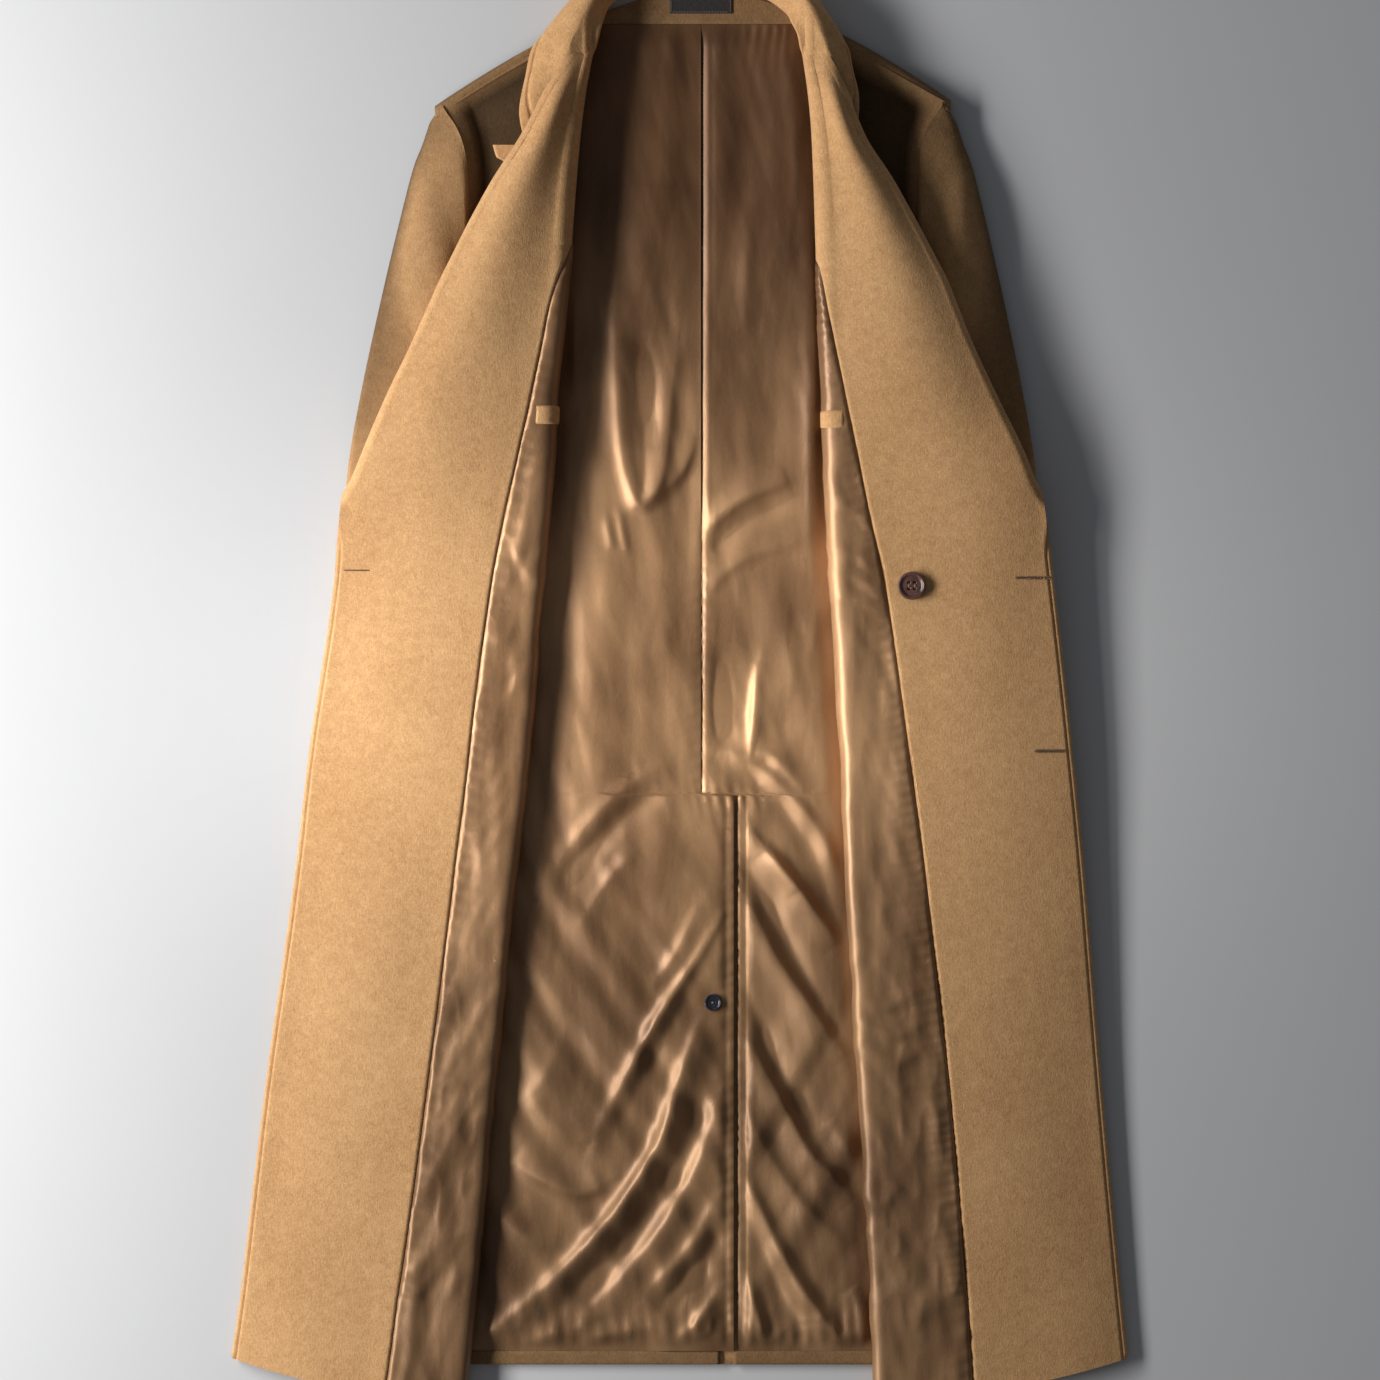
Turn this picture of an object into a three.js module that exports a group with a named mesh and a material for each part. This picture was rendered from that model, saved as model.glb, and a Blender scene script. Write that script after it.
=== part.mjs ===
// A man's long double-breasted wool overcoat with peak lapels, laid open on its back.
// Millimetres. X runs across the coat, Y from the hem to the collar, Z up from the surface it lies on.
// Places are first worked out from the hem line and the middle of the coat, and the group is then moved
// so that its origin is the middle of its underside.

import * as THREE from "three";

// Cloth and gaps
const WOOL = 2.2;
const FACING = 1.8;
const SATIN = 1;
const LAPEL = 2.6;
const COLLAR = 2.6;
const SEAM_GAP = 0.3;
const COVER_GAP = 0.97;
const TAB = 1.2;
const TAB_HALF = 8;
const LABEL = 0.8;

// Driving sizes
const CENTRE_BACK = 9.6;
const HEM_DEPTH = 11.5;
const FRONT_HEM_DROP = 28.7;
const FRONT_HEM_RISE = 34.8;
const LINING_TOP = 1169;
const LINING_UNDER_FRONT = 40;
const FACING_INSET = 4.5;
const BREAK_LEVEL = 740;
const ROLL_RADIUS = 4.5;
const ROLL_RETURN = 5;
const SIDE_SEAM = 1.3;
const SIDE_FOLD = 3.3;
const SIDE_SEAM_OUT = 260;
const SHOULDER_ROLL = 6;
const SHOULDER_RISE = 13.5;
const SHOULDER_SLOPE = 0.62;
const SHOULDER_START = 78;
const VENT_TOP = 497;
const VENT_SLIT_LEFT = 38;
const VENT_SLIT_RIGHT = 41.8;

// Heights of the stacked layers where the fronts lie on the back
const BACK_MID = WOOL / 2;
const LINING_MID = WOOL + SEAM_GAP + SATIN / 2;
const ON_BACK = WOOL + SEAM_GAP;

// Names the columns of a table, so that each row reads as an object.
function table(columns, rows) {
  return rows.map((row) => Object.fromEntries(columns.map((name, i) => [name, row[i]])));
}

// The fronts, a row for each level from the neck to the hem. Distances are outward from the middle.
// y: level of the turned-back part; near, far: levels of the part below, at the fold and at the side;
// side: side seam or armhole; fold: inner fold; edge: front edge or roll line;
// seam: how far outside the fold the facing seam shows, or how far round below it if negative;
// low, high, crown, rim: heights below and above the fold, at the crown and at the edge; roll: turns of
// the edge, in half turns.
const FRONT_COLUMNS = [
  "y", "near", "far", "side", "fold", "edge", "seam", "low", "high", "crown", "rim", "roll",
];

const FRONT_LEFT = table(FRONT_COLUMNS, [
  [1136, 1159, 1084, 218, 82, 108, -16, 15, 36, 42, 40, 0],
  [1067, 1080, 1048, 198, 95, 148, -14, 13.5, 36, 44, 41, 0.75],
  [1032, 1038, 1024, 195, 99, 170.5, -8, 12, 36, 44.5, 41, 1],
  [988, 990, 985, 195, 102.5, 195, 0.6, 10, 35.5, 44, 40.5, 1],
  [966, 966, 966, 198, 104, 206, 4.6, 9, 35.2, 43.5, 40, 1],
  [945, 945, 945, 202, 105.5, 216.5, 10, 8, 35, 43, 39.5, 1],
  [919, 919, 918, 205, 108, 228, 14.8, 7.3, 34.5, 42.3, 38.8, 1],
  [893, 893, 890, 212, 110.5, 239.5, 17.4, 6.8, 34, 41.5, 38, 1],
  [840, 840, 840, 264, 115.5, 265, 23.5, 6.7, 33, 39.5, 36, 1],
  [788, 788, 788, 265, 117.5, 287, 33, 6.7, 31.5, 37, 33.5, 1],
  [740, 740, 740, 267, 122, 304.5, 39.2, 6.7, 30, 34, 28, 0],
  [684, 684, 684, 269, 128, 309.5, 44, 6.7, 28.5, 31.5, 24, 0],
  [527, 527, 527, 277, 140, 332.5, 52.6, 6.7, 25, 27.5, 18.5, 0],
  [432, 432, 432, 282, 151.5, 343.5, 53.1, 6.7, 23, 24, 14, 0],
  [240, 240, 240, 291, 170.5, 370.5, 58.3, 6.7, 20, 19.5, 8, 0],
  [57, 57, 57, 298, 188, 392.5, 66.6, 6.7, 18, 17.5, 5.5, 0],
  [0, 0, 0, 300, 196, 400, 69.6, 6.7, 18, 17, 5, 0],
]);

const FRONT_RIGHT = table(FRONT_COLUMNS, [
  [1136, 1150, 1090, 223, 96.5, 122.5, -16, 15, 36, 42, 40, 0],
  [1067, 1078, 1052, 203, 106, 153, -14, 13.5, 36, 44, 41, 0.75],
  [1032, 1038, 1026, 201, 108, 175.5, -10.2, 12, 36, 44.5, 41, 1],
  [988, 990, 985, 200, 109.5, 200, -5.5, 10, 35.5, 44, 40.5, 1],
  [966, 966, 966, 202, 110, 211.5, 2, 9, 35.2, 43.5, 40, 1],
  [945, 945, 945, 205, 110.5, 222.5, 5.9, 8, 35, 43, 39.5, 1],
  [919, 919, 918, 208, 111.3, 233, 9.1, 7.3, 34.5, 42.3, 38.8, 1],
  [893, 893, 890, 215, 112, 243.5, 13.2, 6.8, 34, 41.5, 38, 1],
  [840, 840, 840, 266, 115.5, 268, 20.5, 6.7, 33, 39.5, 36, 1],
  [788, 788, 788, 267, 116.5, 292.5, 30.4, 6.7, 31.5, 37, 33.5, 1],
  [740, 740, 740, 269, 119, 309, 37.4, 6.7, 30, 34, 28, 0],
  [684, 684, 684, 271, 122, 316.5, 47, 6.7, 28.5, 31.5, 24, 0],
  [527, 527, 527, 279, 131.5, 334, 60, 6.7, 25, 27.5, 18.5, 0],
  [432, 432, 432, 284, 135.5, 343.5, 68.8, 6.7, 23, 24, 14, 0],
  [240, 240, 240, 293, 148, 359.5, 78.3, 6.7, 20, 19.5, 8, 0],
  [57, 57, 57, 300, 158.5, 376.5, 83.6, 6.7, 18, 17.5, 5.5, 0],
  [0, 0, 0, 302, 162, 382, 85.3, 6.7, 18, 17, 5, 0],
]);

// The shoulders and armholes of the back, above the side seams: y at the centre, then for each half the
// level and the reach of its outer edge.
const BACK_TOP = table(["centre", "leftY", "leftOut", "rightY", "rightOut"], [
  [858, 858, 243, 858, 245],
  [900, 893, 211, 893, 214],
  [960, 945, 202, 945, 205],
  [1030, 1006, 195, 1006, 200],
  [1090, 1045, 198, 1048, 202],
  [1150, 1075, 206, 1080, 210],
  [1197, 1092, 220, 1097, 225],
]);

// The sleeves, a row for each line across from the outer edge through its middle to the inner edge; the
// first row follows the armhole. outZ, inZ: height of the edges; top, low: heights of the upper and the
// under cloth between them; rise: share of the way across where the under cloth leaves its low level.
const SLEEVE = table(["outer", "via", "inner", "outZ", "inZ", "top", "low", "rise"], [
  [[225, 1088], [200.5, 1036], [203, 968], 8, 12, 14, 1.4, 0.7],
  [[233, 1064], [212, 1000], [203.5, 935], 7.2, 12.2, 18.5, 1.4, 0.75],
  [[242, 1040], [222, 965], [202, 905], 6.4, 12, 22, 1.5, 0.8],
  [[256, 985], [230, 920], [194, 868], 5.8, 11.6, 20, 3, 0.62],
  [[270, 925], [226, 878], [180, 838], 7.4, 11.2, 17.4, 7, 0.4],
  [[286, 850], [226, 823], [165, 800], 10.9, 11.1, 16, 9.8, 0.3],
  [[298, 780], [228, 772], [158, 765], 11.1, 11.1, 14.8, 9.8, 0.3],
  [[303, 700], [232, 697], [162, 695], 11.1, 11.1, 14.8, 9.8, 0.3],
  [[299, 590], [234, 589], [168, 588], 11.1, 11.1, 14.8, 9.8, 0.3],
  [[294, 475], [233, 475], [172, 475], 11.1, 11.1, 14.8, 9.8, 0.3],
]);
const RIGHT_SLEEVE_SHIFT = 5.5;
const SLEEVE_EDGE_LIFT = 1.3;
const SLEEVE_COLUMNS = 14;

// The collar, a row for each section from the end of the stand to the centre back, by its neck seam,
// its ridge, the belly of the fall and the fall's edge.
const COLLAR_COLUMNS = ["seam", "ridge", "belly", "edge"];

const COLLAR_LEFT = table(COLLAR_COLUMNS, [
  [[79.5, 1143.5, 34], [108, 1140, 39.5], [119.5, 1104, 29], [145, 1069, 23]],
  [[78.5, 1154, 31], [103.5, 1151, 38.5], [126, 1128, 31], [148.5, 1092, 23]],
  [[77.5, 1163, 27], [97.5, 1162, 38], [123, 1147, 31], [143.5, 1120, 22.5]],
  [[75, 1174, 21], [90, 1177, 37], [116.5, 1166, 30], [137, 1146, 20]],
  [[69, 1186, 12], [81, 1194, 35], [111, 1178, 25], [120, 1163, 8]],
  [[52, 1196, 6], [58, 1217, 31], [82, 1209, 16], [87, 1192, 3.5]],
  [[25, 1200.6, 3.6], [27, 1231, 26], [32, 1236, 10], [34, 1212, 1.5]],
]);

const COLLAR_RIGHT = table(COLLAR_COLUMNS, [
  [[94, 1142.5, 34], [121, 1140, 39.5], [131, 1108, 29], [146, 1078, 23]],
  [[93, 1153, 31], [116.5, 1152, 38.5], [132, 1132, 31], [147, 1102, 23]],
  [[92, 1160, 27], [111, 1163, 38], [130, 1148, 30], [142, 1124, 22.5]],
  [[89, 1169, 21], [105.5, 1175, 37], [125, 1164, 29], [137.5, 1145, 20]],
  [[83, 1179, 12], [97, 1190, 35], [120, 1174, 25], [125, 1162, 8]],
  [[64, 1192, 6], [73, 1213, 31], [95, 1206, 16], [99, 1190, 3.5]],
  [[31, 1199.6, 3.6], [36, 1230, 26], [43, 1235, 10], [46, 1212, 1.5]],
]);

const COLLAR_CENTRE = {
  seam: [-CENTRE_BACK, 1201.4, 3.4],
  ridge: [-CENTRE_BACK, 1237, 25],
  belly: [-CENTRE_BACK, 1242, 9],
  edge: [-CENTRE_BACK, 1212, 1.5],
};

// The lapels, a row for each level: how far in and out they reach under the roll.
const LAPEL_LEFT = table(["y", "inner", "outer"], [
  [1062, 128, 171.5],
  [1052, 121, 168.5],
  [1040, 116, 162],
  [988, 118, 189],
  [893, 152, 233.5],
  [800, 248, 277],
]);

const LAPEL_RIGHT = table(["y", "inner", "outer"], [
  [1062, 128, 149],
  [1040, 122, 164],
  [988, 126, 194],
  [893, 160, 237.5],
  [800, 254, 282],
]);

// The largest folds of the back lining: each runs from, through and to a place, and stands height up.
const LINING_FOLDS = table(["from", "through", "to", "height", "width"], [
  [[-65, 925], [-60, 800], [-43, 751], 9, 10],
  [[-43, 751], [-22, 790], [-11, 888], 8, 9],
  [[-15, 799], [3, 900], [6, 1100], 5, 9],
  [[-95, 930], [-97, 820], [-99, 740], 6, 9],
  [[100, 980], [108, 840], [106, 700], 9, 10],
  [[15, 726], [45, 755], [90, 775], 6, 9],
  [[60, 614], [54, 580], [52, 528], 7, 9],
  [[57, 534], [80, 515], [102, 490], 7, 9],
  [[68, 450], [104, 405], [125, 365], 8, 10],
  [[50, 280], [95, 190], [138, 142], 9, 11],
  [[46, 168], [90, 70], [125, 25], 8, 11],
  [[30, 398], [-20, 310], [-78, 205], 8, 11],
  [[12, 305], [-40, 160], [-172, 25], 11, 13],
  [[-150, 180], [-110, 152], [-75, 156], 6, 9],
]);

const WOOL_CLOTH = { color: 0xc4935f, roughness: 0.95, metalness: 0 };
const LINING_CLOTH = { color: 0x84664a, roughness: 0.38, metalness: 0 };
const LABEL_CLOTH = { color: 0x151313, roughness: 0.7, metalness: 0 };
const BUTTON_HORN = { color: 0x3a2522, roughness: 0.35, metalness: 0 };
const SNAP_ENAMEL = { color: 0x12141c, roughness: 0.25, metalness: 0.2 };

const coat = new THREE.Group();

function add(name, geometry, look) {
  const mesh = new THREE.Mesh(geometry, new THREE.MeshStandardMaterial(look));
  mesh.name = name;
  coat.add(mesh);
  return mesh;
}

// The sign of X on each side, for the pieces that come in pairs.
const mirrored = (side) => (side === "left" ? -1 : 1);

const mix = THREE.MathUtils.lerp;

// The value at x of a line through the points [x, value], which stand in rising x.
function along(points, x) {
  if (x <= points[0][0]) return points[0][1];
  for (let i = 1; i < points.length; i += 1) {
    const [x0, v0] = points[i - 1];
    const [x1, v1] = points[i];
    if (x <= x1) return mix(v0, v1, (x - x0) / (x1 - x0));
  }
  return points.at(-1)[1];
}

// The closed solid between two grids with the same rows and columns. Columns that run together are left
// out where they do.
function wallBetween(first, second) {
  const rows = first.length;
  const columns = first[0].length;
  const points = [...first.flat(), ...second.flat()];
  const at = (layer, r, c) => (layer * rows + r) * columns + c;
  const quads = [];
  for (let r = 0; r < rows - 1; r += 1) {
    for (let c = 0; c < columns - 1; c += 1) {
      quads.push([at(1, r, c), at(1, r, c + 1), at(1, r + 1, c + 1), at(1, r + 1, c)]);
      quads.push([at(0, r, c), at(0, r + 1, c), at(0, r + 1, c + 1), at(0, r, c + 1)]);
    }
    quads.push([at(0, r, 0), at(1, r, 0), at(1, r + 1, 0), at(0, r + 1, 0)]);
    const end = columns - 1;
    quads.push([at(0, r, end), at(0, r + 1, end), at(1, r + 1, end), at(1, r, end)]);
  }
  for (let c = 0; c < columns - 1; c += 1) {
    quads.push([at(0, 0, c), at(0, 0, c + 1), at(1, 0, c + 1), at(1, 0, c)]);
    quads.push([at(0, rows - 1, c), at(1, rows - 1, c), at(1, rows - 1, c + 1), at(0, rows - 1, c + 1)]);
  }
  const same = (i, j) => points[i].distanceToSquared(points[j]) < 1e-6;
  const triangles = quads
    .flatMap(([a, b, c, d]) => [[a, b, c], [a, c, d]])
    .filter(([a, b, c]) => !same(a, b) && !same(b, c) && !same(c, a));
  const volume = triangles.reduce(
    (sum, [a, b, c]) => sum + points[a].dot(new THREE.Vector3().crossVectors(points[b], points[c])),
    0,
  );
  const index = triangles.flatMap(([a, b, c]) => (volume < 0 ? [a, c, b] : [a, b, c]));
  const geometry = new THREE.BufferGeometry().setFromPoints(points);
  geometry.setIndex(index);
  geometry.computeVertexNormals();
  return geometry;
}

// The direction square to the cloth at each point of a grid, towards +Z on a flat grid whose columns run
// along +X and whose rows run along -Y.
function normalsOf(grid) {
  const last = (list) => list.length - 1;
  return grid.map((row, r) =>
    row.map((_, c) => {
      const across = row[Math.min(c + 1, last(row))].clone().sub(row[Math.max(c - 1, 0)]);
      const down = grid[Math.min(r + 1, last(grid))][c].clone().sub(grid[Math.max(r - 1, 0)][c]);
      return down.cross(across).normalize();
    }),
  );
}

// The grid moved out by a distance along its normals.
function movedOut(grid, distance, normals = normalsOf(grid)) {
  return grid.map((row, r) => {
    return row.map((point, c) => point.clone().addScaledVector(normals[r][c], distance));
  });
}

// A wall whose middle follows the grid.
function wall(grid, thickness) {
  const normals = normalsOf(grid);
  return wallBetween(movedOut(grid, -thickness / 2, normals), movedOut(grid, thickness / 2, normals));
}

// The same grid, straight up by a distance.
function lifted(grid, distance) {
  const up = new THREE.Vector3(0, 0, distance);
  return grid.map((row) => row.map((point) => point.clone().add(up)));
}

// A strip on the grid's own points, thickness deep.
function strip(grid, thickness) {
  return wallBetween(grid, lifted(grid, thickness));
}

// One level of a front: points from the side seam to the fold, round it, and out to the front edge.
const FOLD_STEPS = 6;
const FOLD_START = 5;
const FOLD_END = FOLD_START + FOLD_STEPS;
const FLAP_SHARES = [0.12, 0.35, 0.6, 0.82, 1];
const ROLL_STEPS = 3;
const EDGE_KNOT = FOLD_END + FLAP_SHARES.length + ROLL_STEPS + 1;
const WOOL_INSIDE_FOLD = 3;

function frontLevel(row, isHem) {
  const radius = (row.high - row.low) / 2;
  const turn = row.fold + WOOL_INSIDE_FOLD + radius;
  const open = row.side > SIDE_SEAM_OUT;
  const points = [];
  const put = (out, z, y) => points.push([out, y, z]);
  const belowShare = (out) => (out - turn) / (row.side - turn);
  const hemDrop = isHem ? FRONT_HEM_DROP : 0;
  const belowY = (out) => mix(row.near - hemDrop, row.far, belowShare(out));
  const sideFold = [
    [row.side + SIDE_SEAM, BACK_MID],
    [row.side + SIDE_FOLD, (BACK_MID + row.low) / 2],
    [row.side, row.low],
  ];
  const armholeEdge = [0, 3, 6].map((step) => [row.side - step, row.low]);
  (open ? sideFold : armholeEdge).forEach(([out, z]) => put(out, z, belowY(Math.min(out, row.side))));
  put(mix(row.side, turn, 0.5), row.low, belowY(mix(row.side, turn, 0.5)));
  put(turn + LINING_UNDER_FRONT * 0.6, row.low, belowY(turn + LINING_UNDER_FRONT * 0.6));
  for (let i = 0; i <= FOLD_STEPS; i += 1) {
    const angle = (Math.PI * i) / FOLD_STEPS;
    const y = mix(row.near, row.y, i / FOLD_STEPS) - hemDrop;
    put(turn - radius * Math.sin(angle), row.low + radius * (1 - Math.cos(angle)), y);
  }
  const rollAngle = Math.PI * row.roll;
  const rollLength = Math.max(ROLL_RADIUS * rollAngle, 3);
  const outside = row.roll > 0 ? ROLL_RADIUS + WOOL / 2 + SEAM_GAP + FACING : 4;
  const rollStart = row.edge - outside;
  const flapHeight = (share) => {
    const bow = row.crown - mix(row.high, row.rim, 0.4);
    const swell = Math.sin(Math.PI * Math.min(share * 1.25, 0.5 + share * 0.5));
    return mix(row.high, row.rim, share) + bow * swell;
  };
  const flapY = (out) => {
    if (!isHem) return row.y;
    const share = Math.min(Math.max((out - row.fold) / (row.edge - row.fold), 0), 1);
    return row.y - FRONT_HEM_DROP + FRONT_HEM_RISE * share * share;
  };
  FLAP_SHARES.forEach((share) => {
    const out = mix(turn, rollStart, share);
    put(out, flapHeight(share), flapY(out));
  });
  let [out, z] = [rollStart, flapHeight(1)];
  for (let i = 0; i < ROLL_STEPS; i += 1) {
    const angle = (rollAngle * (i + 0.5)) / ROLL_STEPS;
    out += (rollLength / ROLL_STEPS) * Math.cos(angle);
    z -= (rollLength / ROLL_STEPS) * Math.sin(angle);
    put(out, z, flapY(out));
  }
  const rest = row.roll > 0 ? ROLL_RETURN : 1;
  out += rest * Math.cos(rollAngle);
  put(out, z - rest * Math.sin(rollAngle), flapY(out));
  return points;
}

function frontGrid(rows, side) {
  return rows.map((row, r) => {
    const level = frontLevel(row, r === rows.length - 1);
    return level.map(([out, y, z]) => new THREE.Vector3(out * mirrored(side), y, z));
  });
}

// A place between two columns of a row, as a point.
function between(row, knot) {
  const low = Math.min(Math.floor(knot), row.length - 2);
  return row[low].clone().lerp(row[low + 1], knot - low);
}

// Where the facing seam crosses a level, as a column number and its fraction.
function seamKnot(level, row) {
  const innermost = FOLD_START + FOLD_STEPS / 2;
  if (row.seam < 0) {
    return innermost + (row.seam / (Math.PI * ((row.high - row.low) / 2))) * FOLD_STEPS;
  }
  for (let k = innermost; k < FOLD_END + FLAP_SHARES.length; k += 1) {
    const a = Math.abs(level[k].x);
    const b = Math.abs(level[k + 1].x);
    if (row.fold + row.seam < b) return k + Math.max(0, (row.fold + row.seam - a) / (b - a));
  }
  return FOLD_END;
}

// How much of a column a short distance is, next to a column number.
function shareOf(level, knot, distance) {
  const low = Math.floor(knot);
  return distance / level[low].distanceTo(level[low + 1]);
}

// A covering on a front from one column to another, level by level, between two distances from its middle.
function covering(grid, range, inner, outer) {
  const sign = Math.sign(grid[0][FOLD_START].x);
  const normals = normalsOf(grid);
  const sheets = [inner, outer].map((distance) => movedOut(grid, sign * distance, normals));
  const limits = grid.map((level, r) => range(level, r));
  const first = Math.floor(Math.min(...limits.map(([from]) => from)));
  const last = Math.ceil(Math.max(...limits.map(([, to]) => to)));
  const cut = sheets.map((sheet) =>
    sheet.map((level, r) => {
      const [from, to] = limits[r];
      const steps = Array.from({ length: last - first + 1 }, (_, i) => first + i);
      return steps.map((step) => between(level, Math.min(Math.max(step, from), to)));
    }),
  );
  return wallBetween(cut[0], cut[1]);
}

// A wool front with the facing and the lining strip that cover it.
function addFront(side, rows) {
  const grid = frontGrid(rows, side);
  const skin = WOOL / 2 + COVER_GAP;
  add(`front_${side}`, wall(grid, WOOL), WOOL_CLOTH);
  const knots = grid.map((level, r) => seamKnot(level, rows[r]));
  const facingRange = (level, r) => {
    const to = rows[r].y >= BREAK_LEVEL ? EDGE_KNOT : edgeKnot(level, rows[r].edge - FACING_INSET);
    return [knots[r] + shareOf(level, knots[r], SEAM_GAP), to];
  };
  const liningRange = (level, r) => [FOLD_START - 1, knots[r] - shareOf(level, knots[r], SEAM_GAP)];
  add(`facing_${side}`, covering(grid, facingRange, skin, skin + FACING), WOOL_CLOTH);
  add(`front_lining_${side}`, covering(grid, liningRange, skin, skin + SATIN), LINING_CLOTH);
  return grid;
}

// Where a level reaches a distance out, as a column number and its fraction.
function edgeKnot(level, out) {
  for (let k = EDGE_KNOT - 1; k >= 0; k -= 1) {
    const a = Math.abs(level[k].x);
    const b = Math.abs(level[k + 1].x);
    if (out >= a) return k + (out - a) / (b - a);
  }
  return EDGE_KNOT;
}

const frontLeft = addFront("left", FRONT_LEFT);
const frontRight = addFront("right", FRONT_RIGHT);

// The lapels hang under the roll of the front edge.
function addLapel(side, rows, fronts) {
  const below = ROLL_RADIUS * 2.1 + WOOL / 2 + COVER_GAP + SEAM_GAP * 2.7 + FACING + LAPEL / 2;
  const rims = fronts.map((row) => [row.y, row.rim]).reverse();
  const grid = rows.map((row) => {
    const height = along(rims, row.y) - below;
    return [0, 0.35, 0.7, 1].map((share) => {
      const out = mix(row.inner, row.outer, share);
      return new THREE.Vector3(out * mirrored(side), row.y, height);
    });
  });
  add(`lapel_${side}`, wall(grid, LAPEL), WOOL_CLOTH);
}

addLapel("left", LAPEL_LEFT, FRONT_LEFT);
addLapel("right", LAPEL_RIGHT, FRONT_RIGHT);

// The back panels: flat from the hem up, and rolled over at the shoulder to meet the fronts.
// flat, step: distances past the top row where the cloth lies flat and where it rolls; height: share of
// the shoulder's rise.
const SHOULDER_TURN = table(["flat", "step", "height"], [
  [0.8, 3, 0.12],
  [1.6, 4, 0.55],
  [2.4, 0, 0.92],
  [3.2, -SHOULDER_ROLL, 1],
]);

function addBack(side, fronts) {
  const sign = mirrored(side);
  const centre = sign * CENTRE_BACK + SEAM_GAP / 2;
  const shares = [0, 0.2, 0.4, 0.6, 0.8, 1];
  const below = fronts.filter((row) => row.side > SIDE_SEAM_OUT).reverse();
  const levels = [
    ...below.map((row) => [row.y, row.far, row.side]),
    ...BACK_TOP.map((row) => [row.centre, row[`${side}Y`], row[`${side}Out`]]),
  ];
  const grid = levels.map(([y, farY, out]) =>
    shares.map((share) => {
      const level = mix(y, farY, share ** 1.5);
      return new THREE.Vector3(sign * mix(centre, out, share), level, BACK_MID);
    }),
  );
  const top = grid.at(-1);
  SHOULDER_TURN.forEach(({ flat, step, height }) => {
    grid.push(
      top.map((point, c) => {
        const rise = THREE.MathUtils.smoothstep(shares[c], 0.4, 0.62);
        const level = point.y + mix(flat, step, rise);
        return new THREE.Vector3(point.x, level, BACK_MID + rise * height * SHOULDER_RISE);
      }),
    );
  });
  add(`back_${side}`, wall(grid, WOOL), WOOL_CLOTH);
}

addBack("left", FRONT_LEFT);
addBack("right", FRONT_RIGHT);

// A strip's grid between two edges, each worked out for a share from 0 to 1.
function bandGrid(levels, count, place) {
  return levels.map((level) => Array.from({ length: count + 1 }, (_, i) => place(level, i / count)));
}

const HEM_LEFT_END = 26;

function addHem(name, from, to) {
  const place = (y, share) => new THREE.Vector3(mix(from, to, share), y, ON_BACK);
  add(name, strip(bandGrid([HEM_DEPTH, 0], 6, place), WOOL), WOOL_CLOTH);
}

addHem("hem_left", -FRONT_LEFT.at(-1).fold - 1, HEM_LEFT_END);
addHem("hem_right", VENT_SLIT_LEFT, FRONT_RIGHT.at(-1).fold + 1);

const underlap = bandGrid([VENT_TOP - 4, HEM_DEPTH + SEAM_GAP], 1, (y, share) =>
  new THREE.Vector3(mix(CENTRE_BACK + SEAM_GAP, VENT_SLIT_LEFT - 1, share), y, ON_BACK));
add("vent_underlap", strip(underlap, WOOL), WOOL_CLOTH);

// How high the lining's folds stand at a place.
function foldHeight(x, y) {
  return LINING_FOLDS.reduce((most, fold) => {
    const [a, b, c] = [fold.from, fold.through, fold.to];
    let nearest = Infinity;
    let place = 0;
    for (let i = 0; i <= 20; i += 1) {
      const t = i / 20;
      const u = 1 - t;
      const bend = (k) => u * u * a[k] + 2 * u * t * (2 * b[k] - (a[k] + c[k]) / 2) + t * t * c[k];
      const distance = Math.hypot(x - bend(0), y - bend(1));
      if (distance < nearest) {
        nearest = distance;
        place = t;
      }
    }
    const taper = Math.sin(Math.PI * (0.04 + 0.92 * place));
    return Math.max(most, fold.height * taper * Math.exp(-((nearest / fold.width) ** 2)));
  }, 0);
}

function addBackLining(side, fronts) {
  const sign = mirrored(side);
  const folds = fronts.map((row) => [row.y, row.fold]).reverse();
  const inner = (y) => {
    if (y > VENT_TOP) return CENTRE_BACK + (sign * SEAM_GAP) / 2;
    return side === "left" ? VENT_SLIT_LEFT : VENT_SLIT_RIGHT;
  };
  const top = LINING_TOP - SEAM_GAP;
  const bottom = HEM_DEPTH + SEAM_GAP;
  const spread = (from, to, count) => {
    return Array.from({ length: count }, (_, i) => mix(from, to, i / (count - 1)));
  };
  const levels = [...spread(top, VENT_TOP + 1, 17), ...spread(VENT_TOP - 1, bottom, 13)];
  const columns = 11;
  const grid = bandGrid(levels, columns, (y, share) => {
    const outer = along(folds, y) + LINING_UNDER_FRONT;
    const x = mix(inner(y), sign * outer, share);
    const clear = THREE.MathUtils.smoothstep(along(folds, y) + 8 - Math.abs(x), 0, 24);
    const ends = THREE.MathUtils.smoothstep(Math.min(y - HEM_DEPTH, LINING_TOP - y), 0, 30);
    const lap = side === "left" && y <= VENT_TOP ? THREE.MathUtils.smoothstep(x, -45, -16) * ON_BACK : 0;
    const level = Math.min(y, top - Math.max(0, Math.abs(x) - SHOULDER_START) * SHOULDER_SLOPE);
    return new THREE.Vector3(x, level, LINING_MID + lap + foldHeight(x, y) * clear * ends);
  });
  add(`back_lining_${side}`, strip(lifted(grid, -SATIN / 2), SATIN), LINING_CLOTH);
}

addBackLining("left", FRONT_LEFT);
addBackLining("right", FRONT_RIGHT);

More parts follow.
